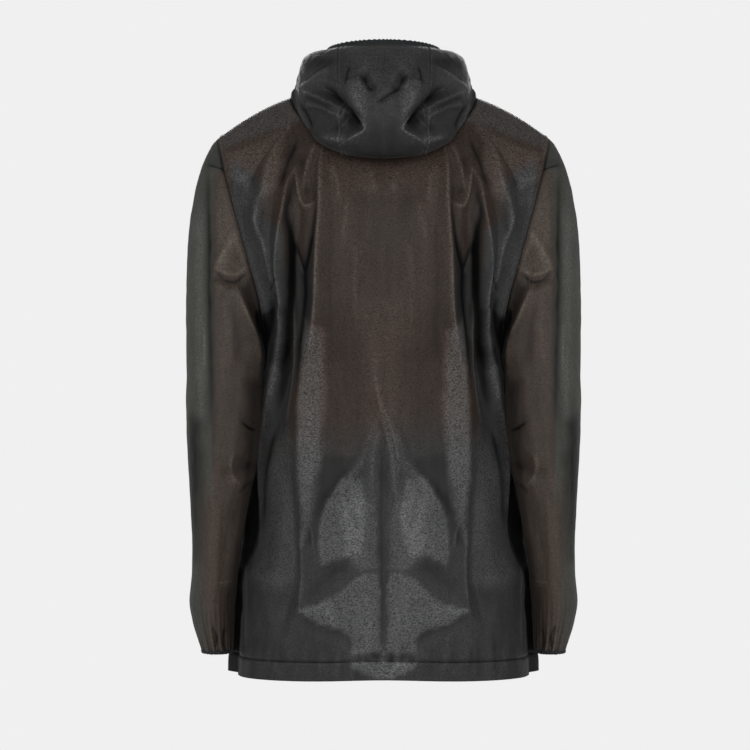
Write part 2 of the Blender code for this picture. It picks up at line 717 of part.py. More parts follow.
def build_zip():
    rows = HOOD_ROWS + FRONT_ROWS
    inside = -(WALL + 2 * SEAM)
    for name, x_from, x_to in (
        ("zip_tape_left", SEAM / 2, TAPE_WIDTH),
        ("zip_tape_right", -TAPE_WIDTH, -SEAM / 2),
    ):
        tape = sheet(1, rows, front_strip(x_from, x_to, inside, NECK_EASE))
        cloth(name, tape, from_the_middle, "zip", TAPE_WALL)
    half = CHAIN_HALF_WIDTH
    chain = sheet(1, rows, front_strip(-half, half, inside + SEAM + CHAIN_WALL), v_range=(0, 0.99))
    cloth("zip_chain", chain, from_the_middle, "zip", CHAIN_WALL)
    build_slider()
    build_pull()
    build_box()


def box(name, size, centre, corner, finish):
    """A block with rounded edges, its sizes along X, Y and Z."""
    bm = bmesh.new()
    bmesh.ops.create_cube(bm, size=MM)
    bmesh.ops.scale(bm, vec=size, verts=bm.verts)
    made = add_object(name, bm, finish)
    made.location = np.array(centre) * MM
    soften = made.modifiers.new("edges", "BEVEL")
    soften.width = corner * MM
    soften.segments = 2
    soften.limit_method = "ANGLE"
    return made


def make_helper(made):
    """Keeps an object out of the garment: it only shapes another one."""
    garment.objects.unlink(made)
    helpers.objects.link(made)
    made.hide_render = True
    made.display_type = "WIRE"
    return made


def side_profile(name, outline, holes, half_width, finish, centre_x=0.0):
    """A plate with the given outline and holes in (y, z), extruded half_width both ways along X."""
    curve = bpy.data.curves.new(name, "CURVE")
    curve.dimensions = "2D"
    curve.fill_mode = "BOTH"
    curve.extrude = half_width * MM
    for line in (outline, *holes):
        spline = curve.splines.new("POLY")
        spline.points.add(len(line) - 1)
        for point, (y, z) in zip(spline.points, line):
            point.co = (y * MM, z * MM, 0, 1)
        spline.use_cyclic_u = True
    flat = bpy.data.objects.new(name + "_outline", curve)
    bpy.context.scene.collection.objects.link(flat)
    bpy.context.view_layer.update()
    shape = bpy.data.meshes.new_from_object(flat.evaluated_get(bpy.context.evaluated_depsgraph_get()))
    bpy.data.objects.remove(flat)
    bm = bmesh.new()
    bm.from_mesh(shape)
    bpy.data.meshes.remove(shape)
    bmesh.ops.remove_doubles(bm, verts=bm.verts, dist=0.001 * MM)
    for vertex in bm.verts:
        vertex.co = (vertex.co.z + centre_x * MM, vertex.co.x, vertex.co.y)
    bmesh.ops.recalc_face_normals(bm, faces=bm.faces)
    return add_object(name, bm, finish)


def arc(centre_y, centre_z, radius, start, end, steps):
    angles = np.radians(np.linspace(start, end, steps))
    return [(centre_y + radius * math.cos(a), centre_z + radius * math.sin(a)) for a in angles]


def build_slider():
    """The slider's front plate with two ears that carry the pin of the pull tab."""
    plate_y = SLIDER_BACK_Y - SLIDER_WALL / 2
    centre_z = BAIL_Z - SLIDER_DROP
    size = (SLIDER_WIDTH, SLIDER_WALL, SLIDER_HEIGHT)
    body = box("zip_slider", size, (0, plate_y, centre_z), 0.8, "metal")
    ear = arc(BAIL_Y, BAIL_Z, EAR_RADIUS, 100, 260, 7)
    ear += [(SLIDER_BACK_Y - 1, BAIL_Z - EAR_RADIUS), (SLIDER_BACK_Y - 1, BAIL_Z + EAR_RADIUS)]
    middle = (PULL_WIDTH / 2 + SEAM) + EAR_WALL / 2
    for number, side in enumerate((1, -1)):
        shape = side_profile(f"ear_{number}", ear, (), EAR_WALL / 2, "metal", side * middle)
        unite(body, make_helper(shape))
    bm = bmesh.new()
    radius = BAIL_RADIUS * MM
    length = 2 * middle * MM
    bmesh.ops.create_cone(bm, cap_ends=True, segments=12, radius1=radius, radius2=radius, depth=length)
    for vertex in bm.verts:
        vertex.co = (vertex.co.z, vertex.co.y + BAIL_Y * MM, -vertex.co.x + BAIL_Z * MM)
    pin = add_object("pin", bm, "metal")
    unite(body, make_helper(pin))


def unite(body, other):
    join = body.modifiers.new("with_" + other.name, "BOOLEAN")
    join.operation = "UNION"
    join.solver = "EXACT"
    join.object = other


def build_pull():
    """The pull tab: an eye round the pin and a flat tail that hangs from it."""
    half = PULL_WALL / 2
    waist = math.degrees(math.asin(half / EYE_RADIUS))
    outline = arc(BAIL_Y, BAIL_Z, EYE_RADIUS, -90 + waist, 270 - waist, 20)
    foot = BAIL_Z - PULL_LENGTH
    outline += [(BAIL_Y - half, foot + half), (BAIL_Y - half / 2, foot)]
    outline += [(BAIL_Y + half / 2, foot), (BAIL_Y + half, foot + half)]
    hole = arc(BAIL_Y, BAIL_Z, EYE_HOLE, 0, 330, 12)
    side_profile("zip_pull", outline, (hole,), PULL_WIDTH / 2, "metal")


def build_box():
    """The box at the foot of the zip, where its two halves are put together."""
    back_y = TORSO.at(HEM_Z, "front") + WALL + SEAM
    centre = (0, back_y - BOX_WALL / 2, HEM_Z + BOX_HEIGHT / 2 + 1)
    box("zip_box", (2 * (ZIP_HALF_OPENING - SEAM), BOX_WALL, BOX_HEIGHT), centre, 0.6, "metal")


def folded_angle(angle):
    """An angle all round as one from 0 at the centre back to pi at the centre front."""
    return np.abs(np.mod(angle + math.pi, 2 * math.pi) - math.pi)


garment = bpy.data.collections.new("windbreaker")
helpers = bpy.data.collections.new("helpers")


def main():
    for old in list(bpy.data.objects):
        bpy.data.objects.remove(old)
    bpy.context.scene.collection.children.link(garment)
    bpy.context.scene.collection.children.link(helpers)
    build_body()
    build_sleeves()
    build_hood()
    build_bindings()
    build_zip()


main()
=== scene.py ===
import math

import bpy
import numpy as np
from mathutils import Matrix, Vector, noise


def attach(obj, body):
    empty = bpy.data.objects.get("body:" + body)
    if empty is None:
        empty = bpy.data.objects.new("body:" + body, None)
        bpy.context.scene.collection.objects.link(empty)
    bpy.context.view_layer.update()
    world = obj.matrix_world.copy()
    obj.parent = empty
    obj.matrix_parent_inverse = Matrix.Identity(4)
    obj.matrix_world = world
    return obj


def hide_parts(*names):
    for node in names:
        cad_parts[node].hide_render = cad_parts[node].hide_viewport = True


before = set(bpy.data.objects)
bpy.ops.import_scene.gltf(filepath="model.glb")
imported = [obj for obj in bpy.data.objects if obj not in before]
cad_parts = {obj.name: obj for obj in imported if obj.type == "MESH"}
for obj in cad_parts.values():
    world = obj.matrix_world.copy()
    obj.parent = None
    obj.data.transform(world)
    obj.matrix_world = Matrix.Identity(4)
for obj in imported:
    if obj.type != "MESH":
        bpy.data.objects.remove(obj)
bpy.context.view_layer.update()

# %% [markdown]
# # A worn windbreaker, seen from behind
#
# The jacket is a thin, dark, coated cloth over a wide body: brown where it lies on the shoulder
# blades, charcoal below, nearly black in its deep folds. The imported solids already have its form.
# This script lays finer cloth over the same surfaces, places each crease that the photo shows,
# and adds what a maker sews on: seams, stitches, ruched elastic, and the coil zip at the front.
#
# Real cloth could be simulated here, but a photo's own creases would never come out of it. So every
# crease is a soft ridge or trough along a short line, wider or sharper by its row in a table.

MM = 0.001

# %% [markdown]
# ## The sizes the garment is drawn from
#
# A pattern cutter works from a body chart and a paper block. Here the block is a few named sizes
# and five short tables, in millimetres, the same as those behind the solids. The front faces -Y,
# the wearer's left is +X, and the origin is in the middle of the neck seam.

# %% Sizes and tables
NECK_X = 118.0            # half the width of the neck seam
NECK_BACK_Y, NECK_BACK_Z = 90.0, -73.0
NECK_FRONT_Y, NECK_FRONT_Z = -98.0, -80.0
NECK_BEND = 1.2           # over 1, the neck seam runs level over the shoulders
SHOULDER_X, SHOULDER_Z = 210.0, -52.0
SHOULDER_BEND = 0.4
UNDERARM_Z = -340.0
HEM_Z = -731.0            # lower edge of the body
HEM_DEPTH = 24.0          # height of the turned hem
HEM_STEP = 1.2            # how far the turned cloth stands out
HEM_RISE, HEM_RISE_HALF = 3.5, 0.3
CUFF_Z = -701.0
NECK_SHARE = 0.5          # share of a panel's top edge that is neck seam
ROOF = 130.0              # height over which a panel turns from the shoulder's top to the back
LEVELLING = 160.0         # height over which the top edge's rise and fall dies away
FLAT_SHARE = 0.45
CLOSE_ROWS = 0.25         # share of a panel's rows that lie closer, on the shoulders
CAP_SHARE = 0.46          # share of the sleeve's rows above its first level ring
CAP_Z = -354.0
CAP_LEAVE = (0.72, 0.22)
CAP_PULLS = (0.66, 0.85)
CUFF_GATHERS, CUFF_GATHER = 12, 0.9
FOLD_FADE = 0.22          # share of a fold's length over which each end dies away
HOOD_RINGS = 9.0
ZIP_HALF_OPENING = 4.2    # from the centre front to the edge of each front
PAINTED_LIGHT_SHARE = 0.55         # a fold's painted light is narrower than the fold by this
LINE_REACH = 6.0          # how many half widths away from a fold's line its painted light may reach


class Table:
    """Rows of sizes under named columns, read between its rows along a smooth curve."""

    def __init__(self, columns, *rows):
        self.names = columns.split()
        rows = np.array(rows, float)
        self.rows = rows[np.argsort(rows[:, 0])]

    def at(self, key, name):
        xs = self.rows[:, 0]
        ys = self.rows[:, self.names.index(name)]
        step = np.diff(xs)
        slope = np.diff(ys) / step
        same_way = slope[:-1] * slope[1:] > 0
        total = np.where(same_way, slope[:-1] + slope[1:], 1.0)
        lean = np.zeros(len(xs))
        lean[1:-1] = np.where(same_way, 2 * slope[:-1] * slope[1:] / total, 0.0)
        lean[0] = slope[0]
        lean[-1] = slope[-1]
        key = np.clip(key, xs[0], xs[-1])
        i = np.clip(np.searchsorted(xs, key, side="right") - 1, 0, len(step) - 1)
        t = (key - xs[i]) / step[i]
        return hermite(t, ys[i], lean[i] * step[i], ys[i + 1], lean[i + 1] * step[i])


def hermite(t, start, start_pull, end, end_pull):
    """A cubic from start to end that leaves and arrives with the given pulls."""
    rise = t * t * (3 - 2 * t)
    return (
        start * (1 - rise)
        + end * rise
        + start_pull * t * (1 - t) ** 2
        - end_pull * t * t * (1 - t)
    )


def smoothstep(x, low, high):
    t = np.clip((x - low) / (high - low), 0.0, 1.0)
    return t * t * (3 - 2 * t)


def bell(distance, reach):
    """1 at distance 0, and a third of that at reach."""
    return np.exp(-((distance / reach) ** 2))


def unit(vectors):
    return vectors / np.maximum(np.linalg.norm(vectors, axis=-1, keepdims=True), 1e-9)


def mirrored(side):
    """What to multiply points by for the left (1) or the right (-1) of the garment."""
    return np.array((side, 1.0, 1.0))


def read_rows(text):
    """Rows of a table in text: a name, its sizes, and its line or outline as x and z in mm.

    The name only tells a reader which fold is meant. A row goes on after a comma.
    """
    table = []
    for row in text.replace(",\n", ",").strip().splitlines():
        _name, sizes, line = row.split("|")
        points = tuple(tuple(float(part) for part in place.split()) for place in line.split(","))
        table.append((*(float(size) for size in sizes.split()), points))
    return table


# How far the centre back and the centre front stand behind and before the shoulder line.
TORSO = Table(
    "z back front",
    (-62, 110, -104),
    (-120, 118, -114),
    (-190, 121, -124),
    (-256, 120, -128),
    (-320, 115, -127),
    (-380, 109, -124),
    (-440, 106, -122),
    (-500, 110, -122),
    (-560, 118, -124),
    (-620, 125, -126),
    (-700, 128, -127),
    (-740, 127, -127),
)

# The outer edge of the back and of each front: the armhole seam down to -340, then the side seam.
# turn is the angle at which a section runs into that edge, reach how far it keeps that angle.
EDGE = Table(
    "z back_x back_y front_x front_y turn reach",
    (-52, 210, 58, 210, -52, 35, 50),
    (-63, 204, 60, 203, -58, 38, 50),
    (-104, 195, 66, 188, -70, 45, 54),
    (-152, 184, 72, 173, -78, 52, 58),
    (-202, 171.5, 73, 162, -78, 57, 60),
    (-258, 156.5, 62, 153, -66, 65, 62),
    (-308, 149, 36, 148.5, -38, 78, 68),
    (-340, 147.5, 0, 147.5, 0, 90, 74),
    (-390, 144, 2, 144, 2, 90, 74),
    (-451, 148, 4, 148, 4, 90, 72),
    (-521, 154, 6, 154, 6, 90, 72),
    (-560, 158, 8, 158, 8, 90, 74),
    (-575, 163, 9, 163, 9, 90, 75),
    (-590, 170, 9, 170, 9, 90, 76),
    (-604, 177, 10, 177, 10, 90, 76),
    (-622, 178, 11, 178, 11, 90, 77),
    (-641, 177, 12, 177, 12, 90, 78),
    (-660, 179, 13, 179, 13, 90, 79),
    (-700, 181, 14, 181, 14, 90, 80),
    (-740, 182, 14, 182, 14, 90, 80),
)

# How far the fronts stand out to the side ahead of the side seam, where along the half panel they
# do so most, and how narrow that swelling is.
FLARE = Table(
    "z size place sharp",
    (-325, 4, 0.78, 2),
    (-345, 15, 0.78, 2),
    (-362, 18.5, 0.78, 2),
    (-400, 21, 0.78, 2),
    (-452, 22, 0.78, 2),
    (-500, 29, 0.78, 2),
    (-546, 33, 0.78, 2),
    (-575, 30, 0.78, 2.5),
    (-600, 23.5, 0.78, 3.6),
    (-620, 24.5, 0.77, 4),
    (-642, 29, 0.75, 4),
    (-664, 33, 0.72, 4),
    (-701, 38, 0.68, 4),
    (-740, 41, 0.67, 4),
)

# The level rings of a sleeve below its cap: innermost and outermost point, middle and half depth.
SLEEVE = Table(
    "z inner_x outer_x mid_y half_depth",
    (-354, 153.5, 249.5, 8, 70),
    (-400, 153.5, 249.5, 11, 69),
    (-452, 157, 248, 12, 65),
    (-500, 168, 245.5, 11, 59),
    (-560, 178, 243, 6, 53),
    (-600, 184, 242.5, 1, 48),
    (-642, 188.5, 246, -5, 43),
    (-664, 190, 243, -9, 40),
    (-684, 191, 237, -12, 37),
    (-701, 192, 231.5, -14, 34),
)

# The rings of the hood from the neck seam, down and out round the pouch, up to its opening. bend
# is how a ring falls from its sides to the centre: over 1, it stays level at the sides for longer.
HOOD = Table(
    "ring side_x side_z back_y back_z front_y front_z seam_x bend",
    (0, 118, 0, 90, -73, -98, -80, 40, 1.2),
    (1, 117, 7.5, 108, -74.5, -99.5, -68, 43, 1.1),
    (2, 113, 13, 140, -87, -100.5, -57, 48, 0.95),
    (3, 111, 19, 160, -75, -101, -46, 51, 1),
    (4, 110, 26, 168, -44, -101, -35, 54, 1),
    (5, 107.5, 33, 164, -12, -100.5, -24, 56, 1),
    (6, 104.5, 44, 153, 18, -100, -14, 57, 1),
    (7, 99.5, 52, 135, 40, -99.3, -5, 57, 1),
    (8, 89, 56, 113, 53.5, -98.6, 2, 56, 1),
    (9, 72, 55, 92, 59.5, -98, 8, 53, 1),
)

# %% [markdown]
# ## The folds
#
# The first lists are the large folds that the solids have too. A row reads: name | on both sides
# (1) or not (0), height (a trough is negative), half width towards the centre, half width away from
# it, how sharp it is, painted light | its line, as x and z in millimetres. A fold's painted light
# is a painted highlight along a ridge and painted shade along a trough: how much lighter or darker
# the cloth is painted there.

# %% Large folds, as in the solids
BACK_FOLDS = read_rows("""
side pleat | 1 11 12 13 2 0 | 111 -93, 125 -198, 123 -260, 131 -337, 140 -389, 147 -449, 153 -518,
    160 -543
gusset hollow | 1 -8 14 14 2 0 | 143 -110, 147 -186, 142 -260, 143 -321
blade groove | 1 -11 10 9 2 0 | 113 -105, 109 -150, 109 -204, 109 -260, 118 -321, 127 -383,
    133 -425
long ridge | 1 8 15 10 2 0 | 75 -70, 80 -109, 81 -161, 84 -230, 84 -260, 88 -290, 97 -326,
    100 -362, 102 -437, 104 -500, 103 -563
neck ridge | 1 5 11 11 2 0 | 120 -46, 140 -86, 146 -109, 157 -149, 154 -187
centre ridge | 0 4 14 12 2 0 | 13 -347, 1 -391, -7 -437, -13 -500
centre groove | 0 -5 10 10 2 0 | 3 -457, 1 -520, 2 -590, 3 -654
fan | 1 4 12 10 2 0 | 8 -405, 20 -432, 27 -457, 51 -495, 76 -533
seat lobe | 1 6 28 24 2 0 | 53 -492, 50 -540, 54 -600
flank groove | 1 -5 13 13 2 0 | 112 -481, 113 -580, 128 -662
""")

# The largest folds of the fronts, which hang from the chest and from the armholes.
FRONT_FOLDS = read_rows("""
chest pleat | 1 7 14 11 2 0 | 128 -120, 121 -200, 124 -300, 132 -390, 138 -470
chest groove | 1 -6 11 11 2 0 | 108 -130, 104 -210, 107 -300, 114 -380
zip ridge | 1 5 14 12 2 0 | 46 -150, 52 -240, 50 -330, 58 -430, 56 -540
belly groove | 1 -5 14 14 2 0 | 84 -330, 88 -430, 82 -530, 92 -640
hip ridge | 1 5 16 14 2 0 | 128 -500, 134 -590, 140 -690
""")

# The folds of a sleeve, behind and in front.
SLEEVE_BACK_FOLDS = read_rows("""
cap ridge | 0 4 11 11 2 0 | 186 -188, 198 -215, 212 -250
elbow crease | 0 -6 9 9 2 0 | 212 -228, 194 -229, 172 -228
inner ridge | 0 5 9 12 2 0 | 177 -256, 163 -307, 160 -340
outer groove | 0 -4 9 9 2 0 | 226 -120, 227 -220, 228 -320, 226 -420
forearm crease | 0 -4 9 9 2 0 | 171 -455, 190 -478, 206 -474
forearm ridge | 0 4 12 12 2 0 | 214 -380, 208 -460, 213 -560, 212 -640
""")
SLEEVE_FRONT_FOLDS = read_rows("""
elbow fold | 0 -6 10 10 2 0 | 166 -330, 190 -352, 216 -348
elbow ridge | 0 5 12 12 2 0 | 166 -372, 194 -392, 222 -386
forearm groove | 0 -4 10 10 2 0 | 188 -420, 202 -500, 208 -600
cap groove | 0 -4 10 10 2 0 | 184 -120, 196 -190, 206 -270
""")

# The folds of the hood, seen from behind.
HOOD_FOLDS = read_rows("""
big fold | 1 -9 8 8 2 0 | 76 4, 60 -14, 48 -30, 26 -49
fold crest | 1 5 8 8 2 0 | 98 -2, 72 -20, 52 -36
rim hollow | 1 -6 8 8 2 0 | 30 24, 21 8, 14 -5
lower pleat | 1 4 8 8 2 0 | 26 -56, 44 -66, 68 -60, 88 -45
""")


# %% How a fold lifts the cloth and paints light and shade on it
def distance_to_line(x, z, line):
    """The signed distance of points from a fold's line, and how far along it they are, 0 to 1."""
    knots = np.array(line, float)
    reach = np.concatenate(([0], np.cumsum(np.linalg.norm(np.diff(knots, axis=0), axis=1))))
    curve = Table("along x z", *np.column_stack((reach, knots)))
    stations = np.linspace(0, reach[-1], 3 * len(knots))
    path = np.column_stack([curve.at(stations, name) for name in ("x", "z")])
    best = np.full(np.shape(x), np.inf)
    side = np.ones(np.shape(x))
    along = np.zeros(np.shape(x))
    downward = 1 if knots[-1, 1] <= knots[0, 1] else -1
    for start, end, where in zip(path[:-1], path[1:], stations[:-1]):
        run = end - start
        length = np.hypot(*run)
        t = np.clip(((x - start[0]) * run[0] + (z - start[1]) * run[1]) / length**2, 0, 1)
        dx = x - start[0] - t * run[0]
        dz = z - start[1] - t * run[1]
        distance = np.hypot(dx, dz)
        nearer = distance < best
        best = np.where(nearer, distance, best)
        beside = (run[0] * (z - start[1]) - run[1] * (x - start[0])) * downward
        side = np.where(nearer, np.where(beside < 0, -1.0, 1.0), side)
        along = np.where(nearer, (where + t * length) / reach[-1], along)
    return best * side, along


def crease(x, z, folds):
    """How far the folds lift the cloth at x, z, and their lines for the finish.

    A line is thinner than the mesh is fine. So the mesh only carries how many of its half widths a
    point is away from it (near) and how much painted light it gets (mark): a painted highlight
    where that is above 0 and painted shade below it, and the finish draws it. There are three of
    each, and a line takes the one whose other lines are farthest away from it.
    """
    lift = np.zeros(np.shape(x))
    near = np.full(np.shape(x) + (3,), LINE_REACH)
    next_one = near.copy()
    mark = np.zeros(near.shape)
    for both_sides, tall, inner, outer, sharp, painted_light, line in folds:
        px = np.abs(x) if both_sides else x
        distance, along = distance_to_line(px, z, line)
        width = np.where(distance < 0, inner, outer)
        ends = np.minimum(along, 1 - along)
        taper = smoothstep(ends, -FOLD_FADE / 2, FOLD_FADE)
        lift += tall * taper * np.exp(-(np.abs(distance / width) ** sharp))
        # A fold's painted light: a painted highlight along a ridge, painted shade along a trough.
        if painted_light == 0:
            continue
        away = np.clip(distance / width / PAINTED_LIGHT_SHARE, -LINE_REACH, LINE_REACH)
        core = (np.abs(away) < 1.5) & (taper > 0.3)
        free = np.abs(near[core]).min(axis=0) if core.any() else np.zeros(3)
        k = int(np.argmax(free))
        closer = np.abs(away) < np.abs(near[..., k])
        next_one[..., k] = np.where(closer, np.abs(near[..., k]),
                                    np.minimum(next_one[..., k], np.abs(away)))
        mark[..., k] = np.where(closer, painted_light * taper, mark[..., k])
        near[..., k] = np.where(closer, away, near[..., k])
    apart = smoothstep(next_one - np.abs(near), 0.0, 1.0)
    return lift, {"near": near, "mark": mark * apart * smoothstep(LINE_REACH - np.abs(near), 0, 2)}


def patch(x, z, corners, soft):
    """1 inside an outline and 0 outside, with a soft edge of the given half width."""
    inside = np.zeros(np.shape(x), bool)
    nearest = np.full(np.shape(x), np.inf)
    for (ax, az), (bx, bz) in zip(corners, corners[1:] + corners[:1]):
        run_x, run_z = bx - ax, bz - az
        t = np.clip(((x - ax) * run_x + (z - az) * run_z) / (run_x**2 + run_z**2), 0, 1)
        nearest = np.minimum(nearest, np.hypot(x - ax - t * run_x, z - az - t * run_z))
        if az != bz:
            crosses = (az > z) != (bz > z)
            inside ^= crosses & (x < ax + (z - az) * run_x / run_z)
    return smoothstep(np.where(inside, nearest, -nearest), -soft, soft)


def patches(x, z, table):
    """How much painted light and shade a table's patches put on the cloth at x, z."""
    return sum(painted_light * patch(x, z, corners, soft) for painted_light, soft, corners in table)


def noisy(x, z, wide, tall, seed):
    """Smooth chance between about -1 and 1, in features wide by tall mm, one pattern per seed."""
    places = zip(np.ravel(x) / wide, np.ravel(z) / tall)
    values = [noise.noise(Vector((a, b, seed))) for a, b in places]
    return np.reshape(values, np.shape(x))


# %% [markdown]
# ## The surfaces
#
# Each panel is a surface of two shares: s runs across it and v down it. The body's sections are
# cubic curves from the centre to the armhole or side seam, so that back and fronts meet on the
# same line and the sleeve starts on the armhole's.

# %% The body, the sleeves and the hood
def neckline(angle):
    """A point of the neck seam; the angle is 0 at the centre back and pi at the centre front."""
    behind = np.maximum(np.cos(angle), 0)
    before = np.maximum(-np.cos(angle), 0)
    x = NECK_X * np.sin(angle)
    y = NECK_BACK_Y * behind + NECK_FRONT_Y * before
    z = NECK_BACK_Z * behind**NECK_BEND + NECK_FRONT_Z * before**NECK_BEND
    return x, y, z


def top_edge(s, face):
    """The neck seam and then the shoulder seam, for s from 0 at the centre to 1 at the armhole."""
    angle = np.clip(s / NECK_SHARE, 0, 1) * math.pi / 2
    x, y, z = neckline(angle if face > 0 else math.pi - angle)
    q = np.clip((s - NECK_SHARE) / (1 - NECK_SHARE), 0, 1)
    x = x + (SHOULDER_X - NECK_X) * q
    z = z + SHOULDER_Z * ((1 - SHOULDER_BEND) * q + SHOULDER_BEND * q * q)
    return x, y, z


def flare(half, level):
    """How far a front swells sideways, to hang close behind the arm: nothing at its edges."""
    place = FLARE.at(level, "place")
    fall = FLARE.at(level, "sharp")
    climb = fall * place / (1 - place)
    return FLARE.at(level, "size") * (half / place) ** climb * ((1 - half) / (1 - place)) ** fall


def torso(s, v, face):
    """The body's cloth: s is -1 to 1 across, v is 0 at the top edge and 1 at the hem."""
    half = np.abs(s)
    top_z = NECK_BACK_Z if face > 0 else NECK_FRONT_Z
    drop = (top_z - HEM_Z) * v
    level = top_z - drop
    roof = np.clip(drop / ROOF, 0, 1)
    turned = np.sqrt(1 - (1 - roof) ** 2)
    tx, ty, tz = top_edge(half, face)
    z = level + (tz - top_z) * (1 - np.clip(drop / LEVELLING, 0, 1)) ** 2
    edge_z = level + (SHOULDER_Z - top_z) * (1 - np.clip(drop / LEVELLING, 0, 1)) ** 2
    side = "back" if face > 0 else "front"
    centre_y = TORSO.at(level, side)
    edge_x = EDGE.at(edge_z, side + "_x")
    edge_y = EDGE.at(edge_z, side + "_y")
    turn = np.radians(EDGE.at(edge_z, "turn"))
    reach = EDGE.at(edge_z, "reach")
    b0 = (1 - half) ** 3
    b1 = 3 * half * (1 - half) ** 2
    b2 = 3 * half**2 * (1 - half)
    b3 = half**3
    x = b1 * FLAT_SHARE * edge_x + b2 * (edge_x - reach * np.cos(turn)) + b3 * edge_x
    if face < 0:
        x = x + flare(np.clip(half, 0, 1), level)
    y = (b0 + b1) * centre_y + b2 * (edge_y + face * reach * np.sin(turn)) + b3 * edge_y
    x = tx + (x - tx) * turned
    y = ty + (y - ty) * turned
    return np.stack((np.sign(s) * x, y, z), -1)


def normal(surface, s, v, step=0.002, last=1.0):
    """The unit normal of a surface, from its two directions; v runs from 0 to last."""
    across = surface(s + step, v) - surface(s - step, v)
    down = surface(s, np.minimum(v + step, last)) - surface(s, np.maximum(v - step, 0))
    return unit(np.cross(across, down))


def armhole(turn):
    """The armhole seam: 0 at the underarm, up the back, 0.5 at the shoulder, then down to 1."""
    rising = 1 - np.abs(1 - 2 * turn)
    up = (1 - np.cos(math.pi * rising)) / 2
    back_v = (NECK_BACK_Z - UNDERARM_Z) * (1 - up) / (NECK_BACK_Z - HEM_Z)
    front_v = (NECK_FRONT_Z - UNDERARM_Z) * (1 - up) / (NECK_FRONT_Z - HEM_Z)
    one = np.ones(np.shape(turn))
    behind = (turn < 0.5)[..., None]
    return np.where(behind, torso(one, back_v, 1), torso(one, front_v, -1))


def sleeve_ring(turn, z):
    angle = math.tau * turn
    inner = SLEEVE.at(z, "inner_x")
    outer = SLEEVE.at(z, "outer_x")
    x = (inner + outer) / 2 - (outer - inner) / 2 * np.cos(angle)
    y = SLEEVE.at(z, "mid_y") + SLEEVE.at(z, "half_depth") * np.sin(angle)
    return np.stack((x, y, z), -1)


def sleeve_base(turn, v):
    """The left sleeve: turn goes round it from the underarm by the back, v goes down it."""
    turn = np.mod(turn, 1.0)
    angle = math.tau * turn
    t = np.clip(v / CAP_SHARE, 0, 1)[..., None]
    start = armhole(turn)
    end = sleeve_ring(turn, np.full(np.shape(turn), CAP_Z))
    span = np.linalg.norm(end - start, axis=-1, keepdims=True)
    out, round_it = CAP_LEAVE
    leave = np.stack((out + 0 * turn, round_it * np.sin(angle), -out + 0 * turn), -1)
    arrive = np.array((0.0, 0.0, -1.0))
    cap = hermite(t, start, leave * span * CAP_PULLS[0], end, arrive * span * CAP_PULLS[1])
    down = np.clip((v - CAP_SHARE) / (1 - CAP_SHARE), 0, 1)
    rings = sleeve_ring(turn, CAP_Z + (CUFF_Z - CAP_Z) * down)
    return np.where((v < CAP_SHARE)[..., None], cap, rings)


def hood_base(angle, ring):
    """The hood: the angle is 0 at the centre back, ring 0 is the neck seam and 9 the opening."""
    behind = np.maximum(np.cos(angle), 0)
    before = np.maximum(-np.cos(angle), 0)
    side_z = HOOD.at(ring, "side_z")
    x = HOOD.at(ring, "side_x") * np.sin(angle)
    y = HOOD.at(ring, "back_y") * behind + HOOD.at(ring, "front_y") * before
    bend = HOOD.at(ring, "bend")
    z = side_z + (HOOD.at(ring, "back_z") - side_z) * behind**bend
    z = z + (HOOD.at(ring, "front_z") - side_z) * before**bend
    return np.stack((x, y, z), -1)


def hood_seam(ring):
    """The angle of the seam between the middle panel and a side panel of the hood."""
    return np.arcsin(HOOD.at(ring, "seam_x") / HOOD.at(ring, "side_x"))


def body_pace(t):
    """How far down each row lies: the rows are close on the shoulders and even below them."""
    share = 1 / (CLOSE_ROWS * (2 - CLOSE_ROWS))
    return np.where(t < CLOSE_ROWS, share * t * t, share * CLOSE_ROWS * (2 * t - CLOSE_ROWS))


def across_for_x(x, v):
    """The s at which a front is x away from the centre, found by halving."""
    low = np.zeros(np.shape(v))
    high = np.full(np.shape(v), 0.4)
    for _ in range(30):
        middle = (low + high) / 2
        beyond = torso(middle, v, -1)[..., 0] > x
        high = np.where(beyond, middle, high)
        low = np.where(beyond, low, middle)
    return high
